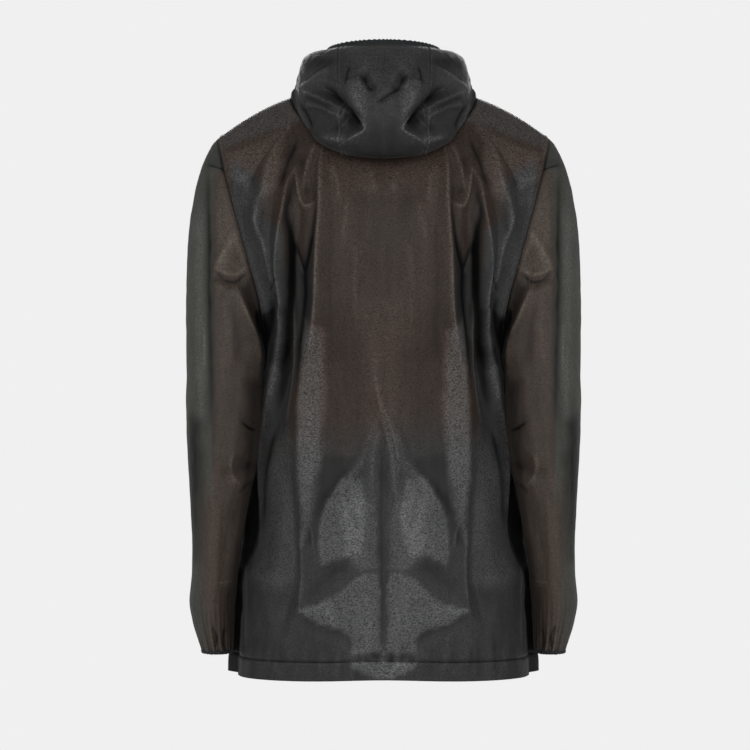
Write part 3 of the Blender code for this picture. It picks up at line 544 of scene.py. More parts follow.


# %% [markdown]
# ## The creases of the photo
#
# From the shoulder blades down, two long pleats run beside each armhole with a trough between
# them, painted black as shade. Lower down the cloth clings, and painted sheen lights it up in two
# lobes and a broad W, and at the hem it puckers along its stitching. The creases of the right half
# mirror those of the left, apart from a few at the centre, and the fronts, which the photo doesn't
# show, get a plainer share.

# %% Fine creases of the back and the fronts, in rows like those of the large folds
# The fine creases' painted light is a painted highlight on each ridge and painted shade in each
# trough.
BACK_CREASES = read_rows("""
armhole ridge | 1 3 5 6 1.4 0.6 | 116 -40, 140 -86, 145 -109, 157 -149, 153 -187
armhole groove | 1 -3.5 5 5 1.6 -0.8 | 108 -55, 114 -71, 123 -97, 128 -117
left leg | 1 4 2.6 3 1.3 1.4 | 109 -96, 118 -109, 124 -145, 129 -186, 132 -218, 125 -256, 125 -297
black groove | 1 -7 6 7 1.8 -1.3 | 112 -107, 115 -124, 120 -146, 116 -176, 115 -204, 116 -260,
    121 -315, 129 -364, 135 -417
right leg | 1 3.5 3.5 3.5 1.3 1.2 | 109 -97, 107 -117, 104 -134, 96 -144, 84 -139
pocket | 1 -3 6 6 1.8 -0.45 | 99 -75, 100 -97, 97 -119, 91 -131
short ridge | 1 3.5 3.5 4.5 1.3 1.1 | 82 -62, 96 -96, 100 -120
long ridge | 1 4.5 5 3 1.3 1.5 | 75 -66, 78 -87, 79 -136, 83 -197, 84 -260, 86 -290, 92 -330
long groove | 1 -4.5 8 8 1.6 -0.7 | 88 -119, 83 -143, 88 -177, 99 -220, 98 -247, 102 -285,
    106 -340, 107 -370
wedge edge | 1 -2.5 3 3 1.4 -0.8 | 87 -181, 92 -204, 99 -224, 107 -204, 114 -186
thin ridge | 1 3 3 3 1.3 1.0 | 113 -260, 116 -321, 119 -380, 123 -411
pleat edge | 1 3.5 4 5 1.3 1.7 | 127 -269, 124 -281, 126 -305, 129 -330, 132 -352, 136 -373,
    140 -401, 143 -429, 146 -457, 152 -518, 159 -544
pleat groove | 1 -4 4 4 1.5 -0.9 | 134 -417, 139 -449, 144 -481, 151 -543
soft a | 1 2.2 6 6 1.4 0.6 | 65 -87, 62 -97, 57 -114, 56 -136
soft b | 1 1.6 7 7 1.5 0.45 | 45 -131, 47 -155, 52 -186
soft c | 1 1.8 6 6 1.5 0.45 | 18 -95, 14 -107, 12 -124
soft d | 1 1.4 8 8 1.5 0.3 | 30 -190, 36 -240, 32 -300
soft e | 1 -1.4 9 9 1.6 -0.25 | 62 -150, 66 -230, 64 -330
gusset ridge | 1 3 3.5 4 1.4 1.0 | 155 -146, 158 -159, 152 -187, 148 -208
gusset low ridge | 1 2.5 3.5 4 1.4 0.9 | 151 -190, 147 -222, 140 -250
gusset crease | 1 -3 3 3 1.5 -0.9 | 137 -226, 142 -239, 147 -250
gusset crease low | 1 -3 3 3 1.5 -0.9 | 139 -252, 132 -260, 126 -268
centre ridge | 0 2.5 6 3.5 1.3 0.8 | 13 -347, 3 -395, -4 -428, -10 -457, -13 -500
centre partner | 0 2.2 4 4 1.4 0.7 | 6 -422, 12 -447, 14 -469, 14 -496
centre groove | 0 -2 4.5 4.5 1.5 -0.5 | 2 -444, 3 -506, 3 -580, 3 -690
fan | 1 2.5 9 8 1.4 0.3 | 8 -405, 20 -432, 25 -457, 50 -485, 67 -510, 76 -534, 78 -555
lobe crease | 1 -2.5 3.5 3.5 1.4 -0.8 | 40 -505, 38 -521, 31 -539
lobe crease up | 1 -2 3 3 1.4 -0.6 | 52 -486, 45 -494, 41 -502
flank groove | 1 -2 9 11 1.6 0 | 112 -469, 113 -531, 114 -580, 120 -629, 129 -678
flank ridge | 1 3 4 4 1.4 0.8 | 103 -545, 102 -605, 105 -643
foot of the band | 1 2 3 3 1.4 0.8 | 92 -536, 88 -548, 86 -566
W ridge | 1 3 9 8 1.4 0.3 | 14 -598, 33 -605, 52 -622, 79 -640, 105 -646
W trough | 1 -3.5 10 10 1.6 -0.3 | 50 -588, 72 -606, 92 -622
W foot | 1 -3 8 8 1.5 -0.3 | 105 -650, 84 -661, 52 -674, 36 -690
blade dark | 1 -2 5 5 1.4 -0.6 | 117 -44, 150 -84, 164 -108, 168 -126
armhole edge | 1 1.5 4 4 1.4 0.6 | 190 -102, 180 -152, 167 -202, 152 -258, 145 -305
centre fan | 0 2 3 3 1.4 0.6 | 0 -390, -8 -412, -16 -447, -19 -470
hem stitching | 1 0 1.6 1.6 1.4 -1.1 | -60 -707, 60 -707, 140 -707, 260 -707
side line | 1 1 2 2 1.5 0.7 | 173 -592, 172 -640, 173 -700
""")
FRONT_CREASES = read_rows("""
collar ridge | 1 3 6 5 1.5 0.29 | 98 -60, 92 -100, 96 -150
armhole ridge | 1 3 5 6 1.5 0.34 | 140 -86, 150 -130, 146 -180
armhole trough | 1 -5 5 5 1.6 -1.2 | 120 -110, 113 -180, 112 -260, 118 -340
pleat | 1 3.5 4 7 1.4 0.67 | 126 -150, 124 -240, 130 -330, 138 -430, 146 -520
chest ridge | 1 3 8 5 1.4 0.38 | 78 -110, 74 -190, 82 -290, 90 -390, 86 -480
zip pull | 1 2.5 6 5 1.5 0.24 | 20 -150, 34 -230, 40 -300
waist crease | 1 -3 5 5 1.5 -0.48 | 30 -420, 58 -446, 84 -440
waist crease low | 1 -2.5 5 5 1.5 -0.43 | 24 -520, 50 -548, 90 -560
hip ridge | 1 3 7 6 1.5 0.29 | 112 -540, 120 -610, 128 -680
hem ridge | 1 3 8 8 1.6 0.29 | 50 -600, 58 -650, 70 -700
""")
# Painted light and shade on the back. Where the cloth clings over the blades, the seat and the hem
# it is lighter, partly as it shows what lies under it and partly as painted sheen; painted light
# lies below the hood, and painted shade behind the pleats and beside the lobes. A row reads: name |
# painted light, half width of its soft edge | corners of its outline on the right half, as x and z.
BACK_PAINTED_LIGHT = read_rows("""
lobe | 1.25 3 | 49 -479, 27 -481, 22 -531, 27 -575, 48 -575, 78 -587, 80 -555, 67 -510
below the hood | 0.3 12 | -1 -84, 40 -80, 72 -60, 86 -70, 62 -104, 36 -122, -1 -126
lobe heart | 0.6 4 | 14 -510, 50 -505, 50 -575, 30 -592, 6 -590, 9 -540
lobe inner | 0.3 4 | 5 -425, 19 -424, 22 -452, 34 -465, 50 -485, 50 -560, 30 -592, 5 -592
W | 1.35 2.5 | 5 -597, 14 -595, 33 -602, 52 -619, 79 -637, 107 -643, 84 -657, 52 -667, 41 -677,
    39 -698, 5 -698
W tip | 0.5 4 | 62 -634, 104 -643, 84 -656, 58 -662
hem centre | 1.9 4 | -4 -708, 41 -709, 37 -716, 22 -723, 6 -729, -4 -729
beside the lobe | -0.4 7 | 36 -455, 76 -449, 92 -500, 100 -529, 98 -560, 84 -560, 82 -530, 68 -500,
    48 -476
band | 1.3 6 | 99 -287, 76 -297, 73 -383, 78 -451, 89 -531, 102 -563, 104 -481, 103 -383
beside the groove | -0.35 6 | 115 -183, 100 -225, 89 -185, 84 -260, 96 -321, 103 -364, 116 -324
behind the pleat | -0.95 4 | 131 -274, 137 -337, 142 -373, 149 -401, 153 -457, 157 -518, 160 -544,
    160 -572, 170 -598, 190 -602, 185 -280
blade corner | 0.95 6 | 200 -74, 150 -57, 117 -42, 148 -84, 165 -108, 172 -120, 192 -104
spindle | 0.7 5 | 146 -88, 119 -44, 124 -64, 126 -90, 134 -118, 150 -136, 154 -115
gusset light | 0.4 6 | 190 -100, 172 -104, 164 -122, 170 -142, 182 -142
gusset foot | -0.8 8 | 122 -272, 146 -262, 146 -330, 128 -345
flank | 0.38 10 | 118 -420, 103 -432, 105 -580, 108 -610, 150 -620, 170 -600, 155 -561, 147 -469
low flank | -0.15 10 | 124 -620, 126 -700, 180 -700, 180 -600
shoulder | 0.85 7 | 225 -87, 198 -65, 150 -50, 114 -39, 100 -35, 113 -5, 190 -10
glow | 0.14 18 | 81 -87, 47 -93, 39 -173, 47 -260, 78 -260
glow low | 0.4 16 | 22 -260, -1 -260, -1 -447, 22 -407
""")
# Painted light and shade on the fronts, in rows like those of the back.
FRONT_PAINTED_LIGHT = read_rows("""
chest | 0.35 22 | 30 -170, 100 -150, 96 -300, 40 -320
below the chest | -0.25 20 | 16 -330, 96 -330, 104 -400, 20 -420
belly | 0.45 20 | 22 -430, 74 -430, 84 -560, 26 -600
lap | 0.3 22 | 30 -630, 110 -640, 118 -700, 30 -700
""")
# Where the cloth is grey although it is high on the back; the first number is how grey.
GREY_PATCHES = read_rows("""
band | 0.45 8 | 99 -287, 80 -297, 76 -383, 80 -451, 104 -481, 104 -383
shoulder | 0.55 7 | 225 -87, 198 -65, 150 -50, 114 -39, 100 -35, 113 -5, 190 -10
gusset | 1.0 8 | 192 -85, 169 -95, 150 -114, 150 -155, 123 -176, 114 -260, 115 -315, 122 -440,
    190 -440, 190 -155
beside the groove | 0.8 6 | 115 -183, 100 -225, 89 -185, 84 -260, 96 -321, 103 -364, 116 -324
""")


# %% Fine creases of the sleeves and the hood
# The sleeve's painted light: painted highlights on ridges and painted shade in troughs; the light
# strip and strip glint along the outer edge are a painted reflection, with painted shade in the
# dark stripe beside it.
SLEEVE_CREASES = read_rows("""
cap line | 0 -1.5 2.5 2.5 1.5 -0.6 | 221 -87, 210 -91, 197 -96
upper ridge | 0 3.5 8 6 1.3 0.7 | 183 -173, 197 -196, 210 -221
cross crease | 0 -4.5 4.5 4.5 1.4 -0.9 | 210 -224, 197 -234, 185 -236, 170 -224
cross ridge | 0 3 3.5 3.5 1.4 0.8 | 210 -219, 197 -225, 185 -227, 172 -218
inner ridge | 0 3.5 4 4 1.3 0.9 | 182 -246, 173 -276, 163 -303, 160 -337, 157 -365
inner trough | 0 -2.5 8 8 1.6 -0.35 | 190 -262, 182 -300, 176 -340
crescent | 0 3 3.5 3.5 1.4 0.6 | 186 -450, 191 -461, 188 -477, 180 -491
crescent trough | 0 -3.5 9 9 1.6 -0.3 | 160 -462, 172 -470, 182 -474
crease above | 0 -2.5 3 3 1.4 -0.6 | 176 -411, 168 -418, 160 -422
forearm crease | 0 -2.5 3 3 1.4 -0.35 | 181 -500, 172 -492, 160 -484
small mark | 0 1.2 2 2 1.4 0.7 | 207 -613, 197 -613, 191 -611
cuff fold | 0 -2.2 3.5 3.5 1.5 -0.7 | 216 -668, 210 -686, 213 -699
cuff fold in | 0 -2 3.5 3.5 1.5 -0.6 | 198 -672, 202 -688, 200 -699
dark stripe | 0 -2.0 10 10 2.2 -0.7 | 221 -88, 221 -133, 219 -258, 215 -358, 213 -433
light strip | 0 1.5 10 12 2 0.3 | 231 -102, 233 -158, 233 -258, 231 -358, 227 -433
strip glint | 0 0.8 3 3 1.6 0.5 | 227 -290, 226 -320, 226 -345
forearm side | 0 -2 12 12 1.8 -0.15 | 196 -520, 202 -590, 206 -650
""")
# Painted shade in the armpit, inside the arm, on the cap and along the lower outer edge, and
# painted light on the upper arm and forearm, in rows like those of the back.
SLEEVE_PAINTED_LIGHT = read_rows("""
wedge | 0.28 5 | 212 -223, 185 -176, 170 -202, 167 -223, 182 -236, 198 -233
armpit | -0.9 3 | 160 -276, 163 -303, 161 -330, 157 -363, 150 -392, 138 -392, 138 -290, 152 -270
below the wedge | -0.45 5 | 183 -237, 165 -228, 150 -271, 146 -320, 164 -300, 175 -258
cap | -0.35 4 | 225 -88, 196 -97, 190 -40, 225 -40
inside of the arm | -0.52 9 | 173 -360, 140 -358, 140 -471, 150 -583, 160 -702, 190 -702, 186 -583,
    175 -483
upper brown | 0.35 14 | 209 -100, 196 -102, 176 -200, 206 -200
low outer edge | -0.75 14 | 250 -400, 227 -412, 228 -471, 232 -533, 237 -583, 250 -583
forearm glow | 0.2 7 | 200 -575, 183 -575, 185 -615, 200 -615
forearm middle | 0.12 14 | 226 -470, 196 -470, 200 -690, 232 -690
""")
# Painted highlights on the hood's crests and painted shade in its folds.
HOOD_CREASES = read_rows("""
big fold | 1 -6 5 5 1.4 -1.0 | 77 5, 65 -9, 55 -17, 47 -27, 35 -40
crest | 1 3.5 3 4 1.3 0.9 | 100 2, 83 -7, 65 -18, 48 -30
crest shade | 1 -2.5 6 6 1.5 -0.5 | 98 -6, 80 -15, 62 -25
low crest | 1 2.5 3 3 1.4 0.6 | 98 -17, 77 -22, 58 -33
beak dark | 1 -3 4 4 1.5 -1.0 | 49 -22, 41 -35, 30 -47
beak edge | 1 3 2.5 2.5 1.3 1.5 | 40 -31, 25 -46, 23 -52, 35 -60, 46 -66
beak foot | 1 2.5 3.5 3.5 1.4 1.0 | 70 -58, 56 -61, 46 -63
pocket stripe | 1 1.5 2 2 1.4 0.6 | 46 -32, 47 -42, 52 -50
light line | 1 2.5 4 4 1.3 0.7 | 104 7, 88 16, 69 27
line above | 1 -2 3 3 1.4 -0.4 | 100 14, 84 23, 66 33
V | 1 -3.5 5 5 1.4 -0.9 | 27 21, 23 7, 14 -5
V side | 1 2 3 3 1.4 0.5 | 33 18, 29 4, 20 -8
teardrop | 1 -2.5 3 3 1.4 -0.9 | 42 28, 46 17, 47 10, 41 12
diagonal | 0 -3 3 3 1.4 -0.9 | -18 -3, -8 -8, 0 -14, 8 -19
soft line | 1 2.5 9 9 1.5 0.5 | 37 2, 33 -17, 26 -32, 21 -51
low edge | 1 -3 3 3 1.4 -1.0 | 103 -16, 93 -36, 88 -48
outer strip | 1 1.5 3 3 1.4 0.9 | 109 -10, 101 -31, 95 -42, 90 -50
under edge | 1 2.5 4 4 1.4 0.6 | 88 -50, 65 -70, 38 -83
""")
# Painted light and shade on the hood: painted shade on its upper sides, low middle, underside and
# pocket, painted highlights elsewhere, in rows like those of the back.
HOOD_PAINTED_LIGHT = read_rows("""
upper side | -0.7 10 | 60 34, 80 52, 104 40, 100 20
top | 0.35 8 | -1 52, 44 50, 38 26, -1 24
side | 0.45 9 | 66 4, 66 30, 100 28, 106 6
low middle | -0.4 12 | -1 -38, 18 -42, 32 -78, -1 -88
light middle | 0.9 6 | 22 6, 44 8, 40 -14, 26 -36, 22 -26
mid | 0.1 16 | -1 30, 20 20, 20 -50, -1 -50
pocket | -0.6 5 | 48 -34, 32 -46, 28 -52, 46 -60, 62 -50
low lights | 0.5 5 | 74 -54, 46 -60, 44 -70, 60 -66
underside | -0.3 9 | -1 -80, 40 -74, 86 -46, 100 -60, 60 -95, -1 -95
""")


# %% Folds and painted light together
WAIST = (-462, -400)      # the heights between which the back turns from grey to brown
SEAT = (-480, -380)       # and those between which crumpled cloth turns to hanging cloth
PUCKER_REACH = 22.0       # how far above and below the hem's stitching the cloth puckers
STITCH_DIP = 0.9          # how deep the hem's stitching sinks
CUFF_STITCH = 0.985       # how far down the sleeve the line of stitches above the cuff is
SLEEVE_ROUND = 380.0      # about how far it is round a sleeve, for its noise
HOOD_RADIUS, RING_STEP = 110.0, 24.0     # the hood's half width and its rings' distance, likewise


def body_panel(face):
    """The surface of the back (face 1) or of the fronts (face -1) with its colour and painted
    light.
    """
    folds = BACK_FOLDS if face > 0 else FRONT_FOLDS
    creases = BACK_CREASES if face > 0 else FRONT_CREASES

    def surface(s, v):
        base = torso(s, v, face)
        x, z = base[..., 0], base[..., 2]
        side = 1 - np.abs(s)
        away = smoothstep(side, 0.0, 0.10) * smoothstep(v, 0.0, 0.05)
        broad, _ = crease(x, z, folds)
        fine, looks = crease(x, z, creases)
        near = smoothstep(side, 0.0, 0.05) * smoothstep(v, 0.0, 0.03)
        above_hem = z - (HEM_Z + HEM_DEPTH)
        hem = HEM_STEP * smoothstep(-above_hem, -0.7, 0.7)
        pucker = noisy(x, z, 7, 26, 3.5 + face) * bell(above_hem, PUCKER_REACH)
        stitch_dip = -STITCH_DIP * bell(above_hem, 2.2)
        streaks = noisy(x, z, 11, 70, 8.5 + face) + 0.5 * noisy(x, z, 5, 32, 14.5 + face)
        crumple = noisy(x, z, 26, 30, 21.5 + face) + 0.5 * noisy(x, z, 10, 12, 27.5)
        high = smoothstep(z, *SEAT)
        grain = 0.7 * streaks * high + 0.8 * crumple * (1 - high)
        welt = 1.1 * bell(side - 0.022, 0.010) + 0.8 * bell(v - 0.008, 0.004)
        lift = broad * away + (fine + grain) * near + hem + stitch_dip + 1.3 * pucker * near + welt
        rise = HEM_RISE * bell(s, HEM_RISE_HALF) * smoothstep(v, 0.8, 1.0)
        raised = base + np.stack((0 * x, 0 * x, rise), -1)
        if face > 0:
            rough_x = np.abs(x) + 2.6 * noisy(x, z, 9, 9, 71.5) + 2.5 * noisy(x, z, 26, 26, 75.5)
            rough_z = z + 2.6 * noisy(x, z, 9, 9, 73.5) + 3.5 * noisy(x, z, 26, 26, 77.5)
            tone = patches(rough_x, rough_z, BACK_PAINTED_LIGHT)
        else:
            # A painted shadow of the arm along each front's side, below the underarm.
            painted_arm_shadow = smoothstep(0.36 - side, 0.0, 0.16) * smoothstep(-z, 330, 390)
            tone = patches(np.abs(x), z, FRONT_PAINTED_LIGHT) - 0.8 * painted_arm_shadow
        # Painted light on raised crumples, streaks and puckers and painted shade in their hollows:
        # they follow the same noise as the lift.
        tone = tone + 0.10 * crumple * (1 - high) + 0.13 * streaks
        tone = tone + (0.35 + 0.8 * smoothstep(-np.abs(x), -60, -20)) * pucker
        # A painted highlight along the welt beside each seam; darker lines at the seams and the top
        # edge.
        tone = tone + 0.35 * bell(side - 0.022, 0.008)
        tone = tone - 0.8 * bell(side, 0.006) - 0.4 * bell(v, 0.003)
        warm = smoothstep(z + 18 * noisy(x, z, 60, 60, 2.5), *WAIST)
        for amount, soft, corners in GREY_PATCHES:
            warm = warm * (1 - amount * patch(np.abs(x), z, corners, soft))
        out = normal(lambda a, b: torso(a, b, face), s, v) * face
        return raised + out * lift[..., None], {"tone": tone, "warm": warm, **looks}

    return surface


def sleeve_surface(s, v):
    turn = (s + 1) / 2
    base = sleeve_base(turn, v)
    x, z = base[..., 0], base[..., 2]
    facing = np.sin(math.tau * turn)
    behind = smoothstep(facing, 0.0, 0.45)
    before = smoothstep(-facing, 0.0, 0.45)
    broad_back, _ = crease(x, z, SLEEVE_BACK_FOLDS)
    broad_front, _ = crease(x, z, SLEEVE_FRONT_FOLDS)
    fine, looks = crease(x, z, SLEEVE_CREASES)
    away = smoothstep(v, 0.01, 0.12)
    around = np.mod(turn + 0.25, 1.0) - 0.5
    low = smoothstep(v, 0.86, 1.0)
    gathers = np.sin(CUFF_GATHERS * math.tau * turn) * smoothstep(v, 0.93, 1.0)
    uneven = np.sin(31 * math.tau * turn + 2 * np.sin(2 * math.tau * turn)) * low
    way = SLEEVE_ROUND * around
    crumple = noisy(way, z, 22, 40, 33.5) + 0.5 * noisy(way, z, 9, 14, 39.5)
    drawn = noisy(way, z, 12, 60, 45.5)
    sides = np.abs(facing)
    lift = (broad_back * behind + broad_front * before + fine * smoothstep(sides, 0.05, 0.4)) * away
    lift = lift + (0.8 * crumple + 0.5 * drawn) * away * smoothstep(1 - v, 0.0, 0.05)
    lift = lift + 0.5 * bell(v - 0.02, 0.012)
    lift = lift + CUFF_GATHER * gathers + 0.5 * uneven
    rough_x = x + 2.5 * noisy(x, z, 14, 22, 71.5)
    rough_z = z + 4.0 * noisy(x, z, 14, 22, 73.5)
    # Painted light and shade from the sleeve's table, only on the sides that face back and front.
    tone = patches(rough_x, rough_z, SLEEVE_PAINTED_LIGHT) * smoothstep(sides, 0.2, 0.6)
    looks["mark"] = looks["mark"] * smoothstep(sides, 0.0, 0.3)[..., None]
    tone = tone - 0.6 * bell(v, 0.006)
    # Painted light on raised crumples and gathers, painted shade in their hollows.
    tone = tone + 0.12 * crumple + 0.10 * drawn + 0.25 * gathers + 0.2 * uneven
    # Grey on the cap and along the outer edge, brown elsewhere; the lighter grey of the outer edge
    # is partly the cloth's colour off the arm and partly painted sheen.
    warm = smoothstep(-x, -217, -210) * smoothstep(-z, 90, 98)
    warm = np.maximum(warm, smoothstep(-z, 450, 530) * smoothstep(-x, -238, -218))
    out = normal(lambda a, b: sleeve_base((a + 1) / 2, b), s, v)
    return base + out * lift[..., None], {"tone": tone, "warm": warm, **looks}


def hood_cloth(angle, ring):
    base = hood_base(angle, ring)
    x, z = base[..., 0], base[..., 2]
    outside = smoothstep(ring, 1.0, 2.0) * smoothstep(HOOD_RINGS - ring, 0.0, 0.8)
    behind = smoothstep(np.cos(angle), -0.05, 0.15)
    broad, _ = crease(x, z, HOOD_FOLDS)
    fine, looks = crease(x, z, HOOD_CREASES)
    # Painted light and shade from the hood's table, on its outside and behind.
    tone = patches(np.abs(x), z, HOOD_PAINTED_LIGHT) * outside * behind
    looks["mark"] = looks["mark"] * (outside * behind)[..., None]
    way = HOOD_RADIUS * np.sqrt(angle**2 + 0.002)    # the same on both sides, so that seams meet
    up = RING_STEP * ring
    crumple = noisy(way, up, 20, 20, 51.5) + 0.5 * noisy(way, up, 8, 9, 57.5)
    drawn = noisy(way, up, 5, 60, 63.5) * smoothstep(ring, 7.9, HOOD_RINGS)
    lift = (broad + fine) * outside * behind + 0.9 * crumple * smoothstep(ring, 0.2, 1.2)
    lift = lift * smoothstep(HOOD_RINGS - ring, 0.0, 0.6) + 1.1 * drawn
    seam = np.where(np.cos(angle) > 0, np.abs(np.abs(x) - HOOD.at(ring, "seam_x")), 99)
    lift = lift - 0.9 * bell(seam, 1.2) + 0.5 * bell(seam - 2.6, 1.3)
    # Painted light on raised crumples and drawn cloth, painted shade in their hollows; a darker
    # line at each seam with a painted highlight beside it, and darker cloth from ring 8 up to the
    # opening, below the elastic.
    tone = tone + 0.14 * crumple + 0.3 * drawn
    tone = tone - 0.2 * bell(seam, 0.9) + 0.7 * bell(seam - 1.6, 0.8)
    tone = tone - 0.85 * smoothstep(ring, 7.95, 8.2)
    out = normal(hood_base, angle, ring, 0.01, HOOD_RINGS)
    looks.update(tone=tone, warm=np.full(np.shape(x), 0.15))
    return base - out * lift[..., None], looks


def hood_middle(s, v):
    ring = HOOD_RINGS * v
    return hood_cloth(s * hood_seam(ring), ring)


def hood_side(s, v):
    ring = HOOD_RINGS * v
    start = hood_seam(ring)
    end = math.pi - np.arcsin(ZIP_HALF_OPENING / HOOD.at(ring, "side_x"))
    return hood_cloth(start + (end - start) * (s + 1) / 2, ring)


# %% [markdown]
# ## Cloth as a mesh
#
# A panel is one grid of points laid on its surface. Solidify gives it a wall, and is applied, so
# that what is exported is the cloth itself. Each point also keeps what the finish needs: how brown
# the cloth is there, how much painted light or shade lies on it, and the fold lines that pass close
# by. Its UVs are the cut size in metres, so the weave is as fine on every panel.

# %% Making a panel
def spaced(count, low, high, density):
    """count + 1 numbers from low to high that lie closer where density(number) is greater."""
    fine = np.linspace(low, high, 4001)
    weight = density(fine) + 0 * fine
    filled = np.concatenate(([0], np.cumsum((weight[1:] + weight[:-1]) / 2)))
    return np.interp(np.linspace(0, filled[-1], count + 1), filled, fine)


def bumps(number, *places):
    """1, and more near each (place, reach, extra)."""
    return 1 + sum(extra * bell(number - place, reach) for place, reach, extra in places)


def grid(across, down, surface):
    """Points, faces and looks of a grid on surface(s, v)."""
    columns, rows = len(across) - 1, len(down) - 1
    s, v = np.meshgrid(across, down)
    places, looks = surface(s, v)
    row, column = np.meshgrid(np.arange(rows), np.arange(columns), indexing="ij")
    first = (row * (columns + 1) + column).ravel()
    faces = np.stack((first, first + 1, first + columns + 2, first + columns + 1), -1)
    return places * MM, faces, looks


def cut_size(places):
    """How far each point lies across and down the panel, along the cloth, in metres."""
    step_u = np.linalg.norm(np.diff(places, axis=1), axis=-1)
    step_v = np.linalg.norm(np.diff(places, axis=0), axis=-1)
    u = np.concatenate((np.zeros_like(step_u[:, :1]), np.cumsum(step_u, axis=1)), 1)
    v = np.concatenate((np.zeros_like(step_v[:1]), np.cumsum(step_v, axis=0)), 0)
    return u - u[:, -1:] / 2, v


def new_object(name, mesh, finish, body="garment", replaced=()):
    made = bpy.data.objects.new(name, mesh)
    bpy.context.scene.collection.objects.link(made)
    mesh.materials.append(finish)
    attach(made, body)
    if replaced:
        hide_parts(*replaced)
    return made


def weld(made, reach):
    """Join the points of a closed mesh where its two ends meet."""
    made.modifiers.new("weld", "WELD").merge_threshold = reach * MM


def shaped(made):
    """Make what the modifiers show the object's own mesh."""
    bpy.context.view_layer.update()
    ready = made.evaluated_get(bpy.context.evaluated_depsgraph_get())
    made.data = bpy.data.meshes.new_from_object(ready)
    made.modifiers.clear()
    made.data.shade_smooth()
    return made.data


def panel(name, across, down, surface, outward, finish, wall, mirror=False, closed=False):
    """A cloth piece that takes the place of the solid of the same name."""
    places, faces, looks = grid(across, down, surface)
    u, v = cut_size(places)
    points = places.reshape(-1, 3).copy()
    if mirror:
        points[:, 0] = -points[:, 0]
    corners = points[faces]
    facing = np.cross(corners[:, 2] - corners[:, 0], corners[:, 3] - corners[:, 1])
    if np.sum(facing * outward(corners.mean(axis=1))) < 0:
        faces = faces[:, ::-1]
    mesh = bpy.data.meshes.new(name + "_cloth")
    mesh.from_pydata(points.tolist(), [], faces.tolist())
    for label, values in looks.items():
        kind, field = ("FLOAT", "value") if values.ndim == 2 else ("FLOAT_VECTOR", "vector")
        kept = mesh.attributes.new(label, kind, "POINT")
        kept.data.foreach_set(field, np.ravel(values).astype(np.float32))
    cloth_uv = mesh.uv_layers.new(name="cut")
    flat = np.stack((u.ravel(), v.ravel()), -1)
    around = np.array([loop.vertex_index for loop in mesh.loops])
    cloth_uv.data.foreach_set("uv", flat[around].astype(np.float32).ravel())
    area = sum(face.area for face in mesh.polygons)
    made = new_object(name + "_cloth", mesh, finish, replaced=(name,))
    # The inner side gets a near-black finish of painted shade.
    mesh.materials.append(PAINTED_SHADE_INSIDE)
    if closed:
        weld(made, 0.01)
    thick = made.modifiers.new("wall", "SOLIDIFY")
    thick.thickness = wall * MM
    thick.offset = -1
    thick.material_offset = 1
    thick.material_offset_rim = 0
    walled = shaped(made)
    walled.name = name + "_cloth"
    walled.set_sharp_from_angle(angle=math.radians(70))
    triangles = sum(len(face.vertices) - 2 for face in walled.polygons)
    width = (u.max(axis=1) - u.min(axis=1)).mean()
    print(f"{name}: {triangles} triangles, {area:.4f} m2, {width:.3f} x {v.max():.3f} m")
    return made


def from_the_middle(centres):
    return centres * np.array((1.0, 1.0, 0.0))


def from_the_arm(centres):
    """Away from the upright line down the middle of the nearer sleeve."""
    x, y, z = centres.T
    return centres - np.stack((np.sign(x) * ARM_X, 0 * y, z), -1)


# %% [markdown]
# ## Finishes
#
# The shell is a close plain weave with a thin coat. It is dark and a little brown where one layer
# lies over something lighter, and it has a soft sheen that shows on every edge that turns away.
# All of it is made from noise, waves and what the mesh keeps, with the painted light and shade of
# the folds and patches. Numbers are added and multiplied with ordinary operators through a small
# class, which makes the maths nodes.

# %% Shader maths
class Number:
    """A socket that makes a maths node when it is added, multiplied and so on."""

    def __init__(self, paint, socket):
        self.paint, self.socket = paint, socket

    def maths(self, operation, first, second=None):
        made = self.paint.tree.nodes.new("ShaderNodeMath")
        made.operation = operation
        for slot, value in zip(made.inputs, (first, second)):
            if value is not None:
                self.paint.feed(slot, value)
        return Number(self.paint, made.outputs[0])

    def __add__(self, other):
        return self.maths("ADD", self, other)

    def __sub__(self, other):
        return self.maths("SUBTRACT", self, other)

    def __rsub__(self, other):
        return self.maths("SUBTRACT", other, self)

    def __mul__(self, other):
        return self.maths("MULTIPLY", self, other)

    def __pow__(self, other):
        return self.maths("POWER", self, other)

    def sine(self):
        return self.maths("SINE", self)

    __radd__ = __add__
    __rmul__ = __mul__


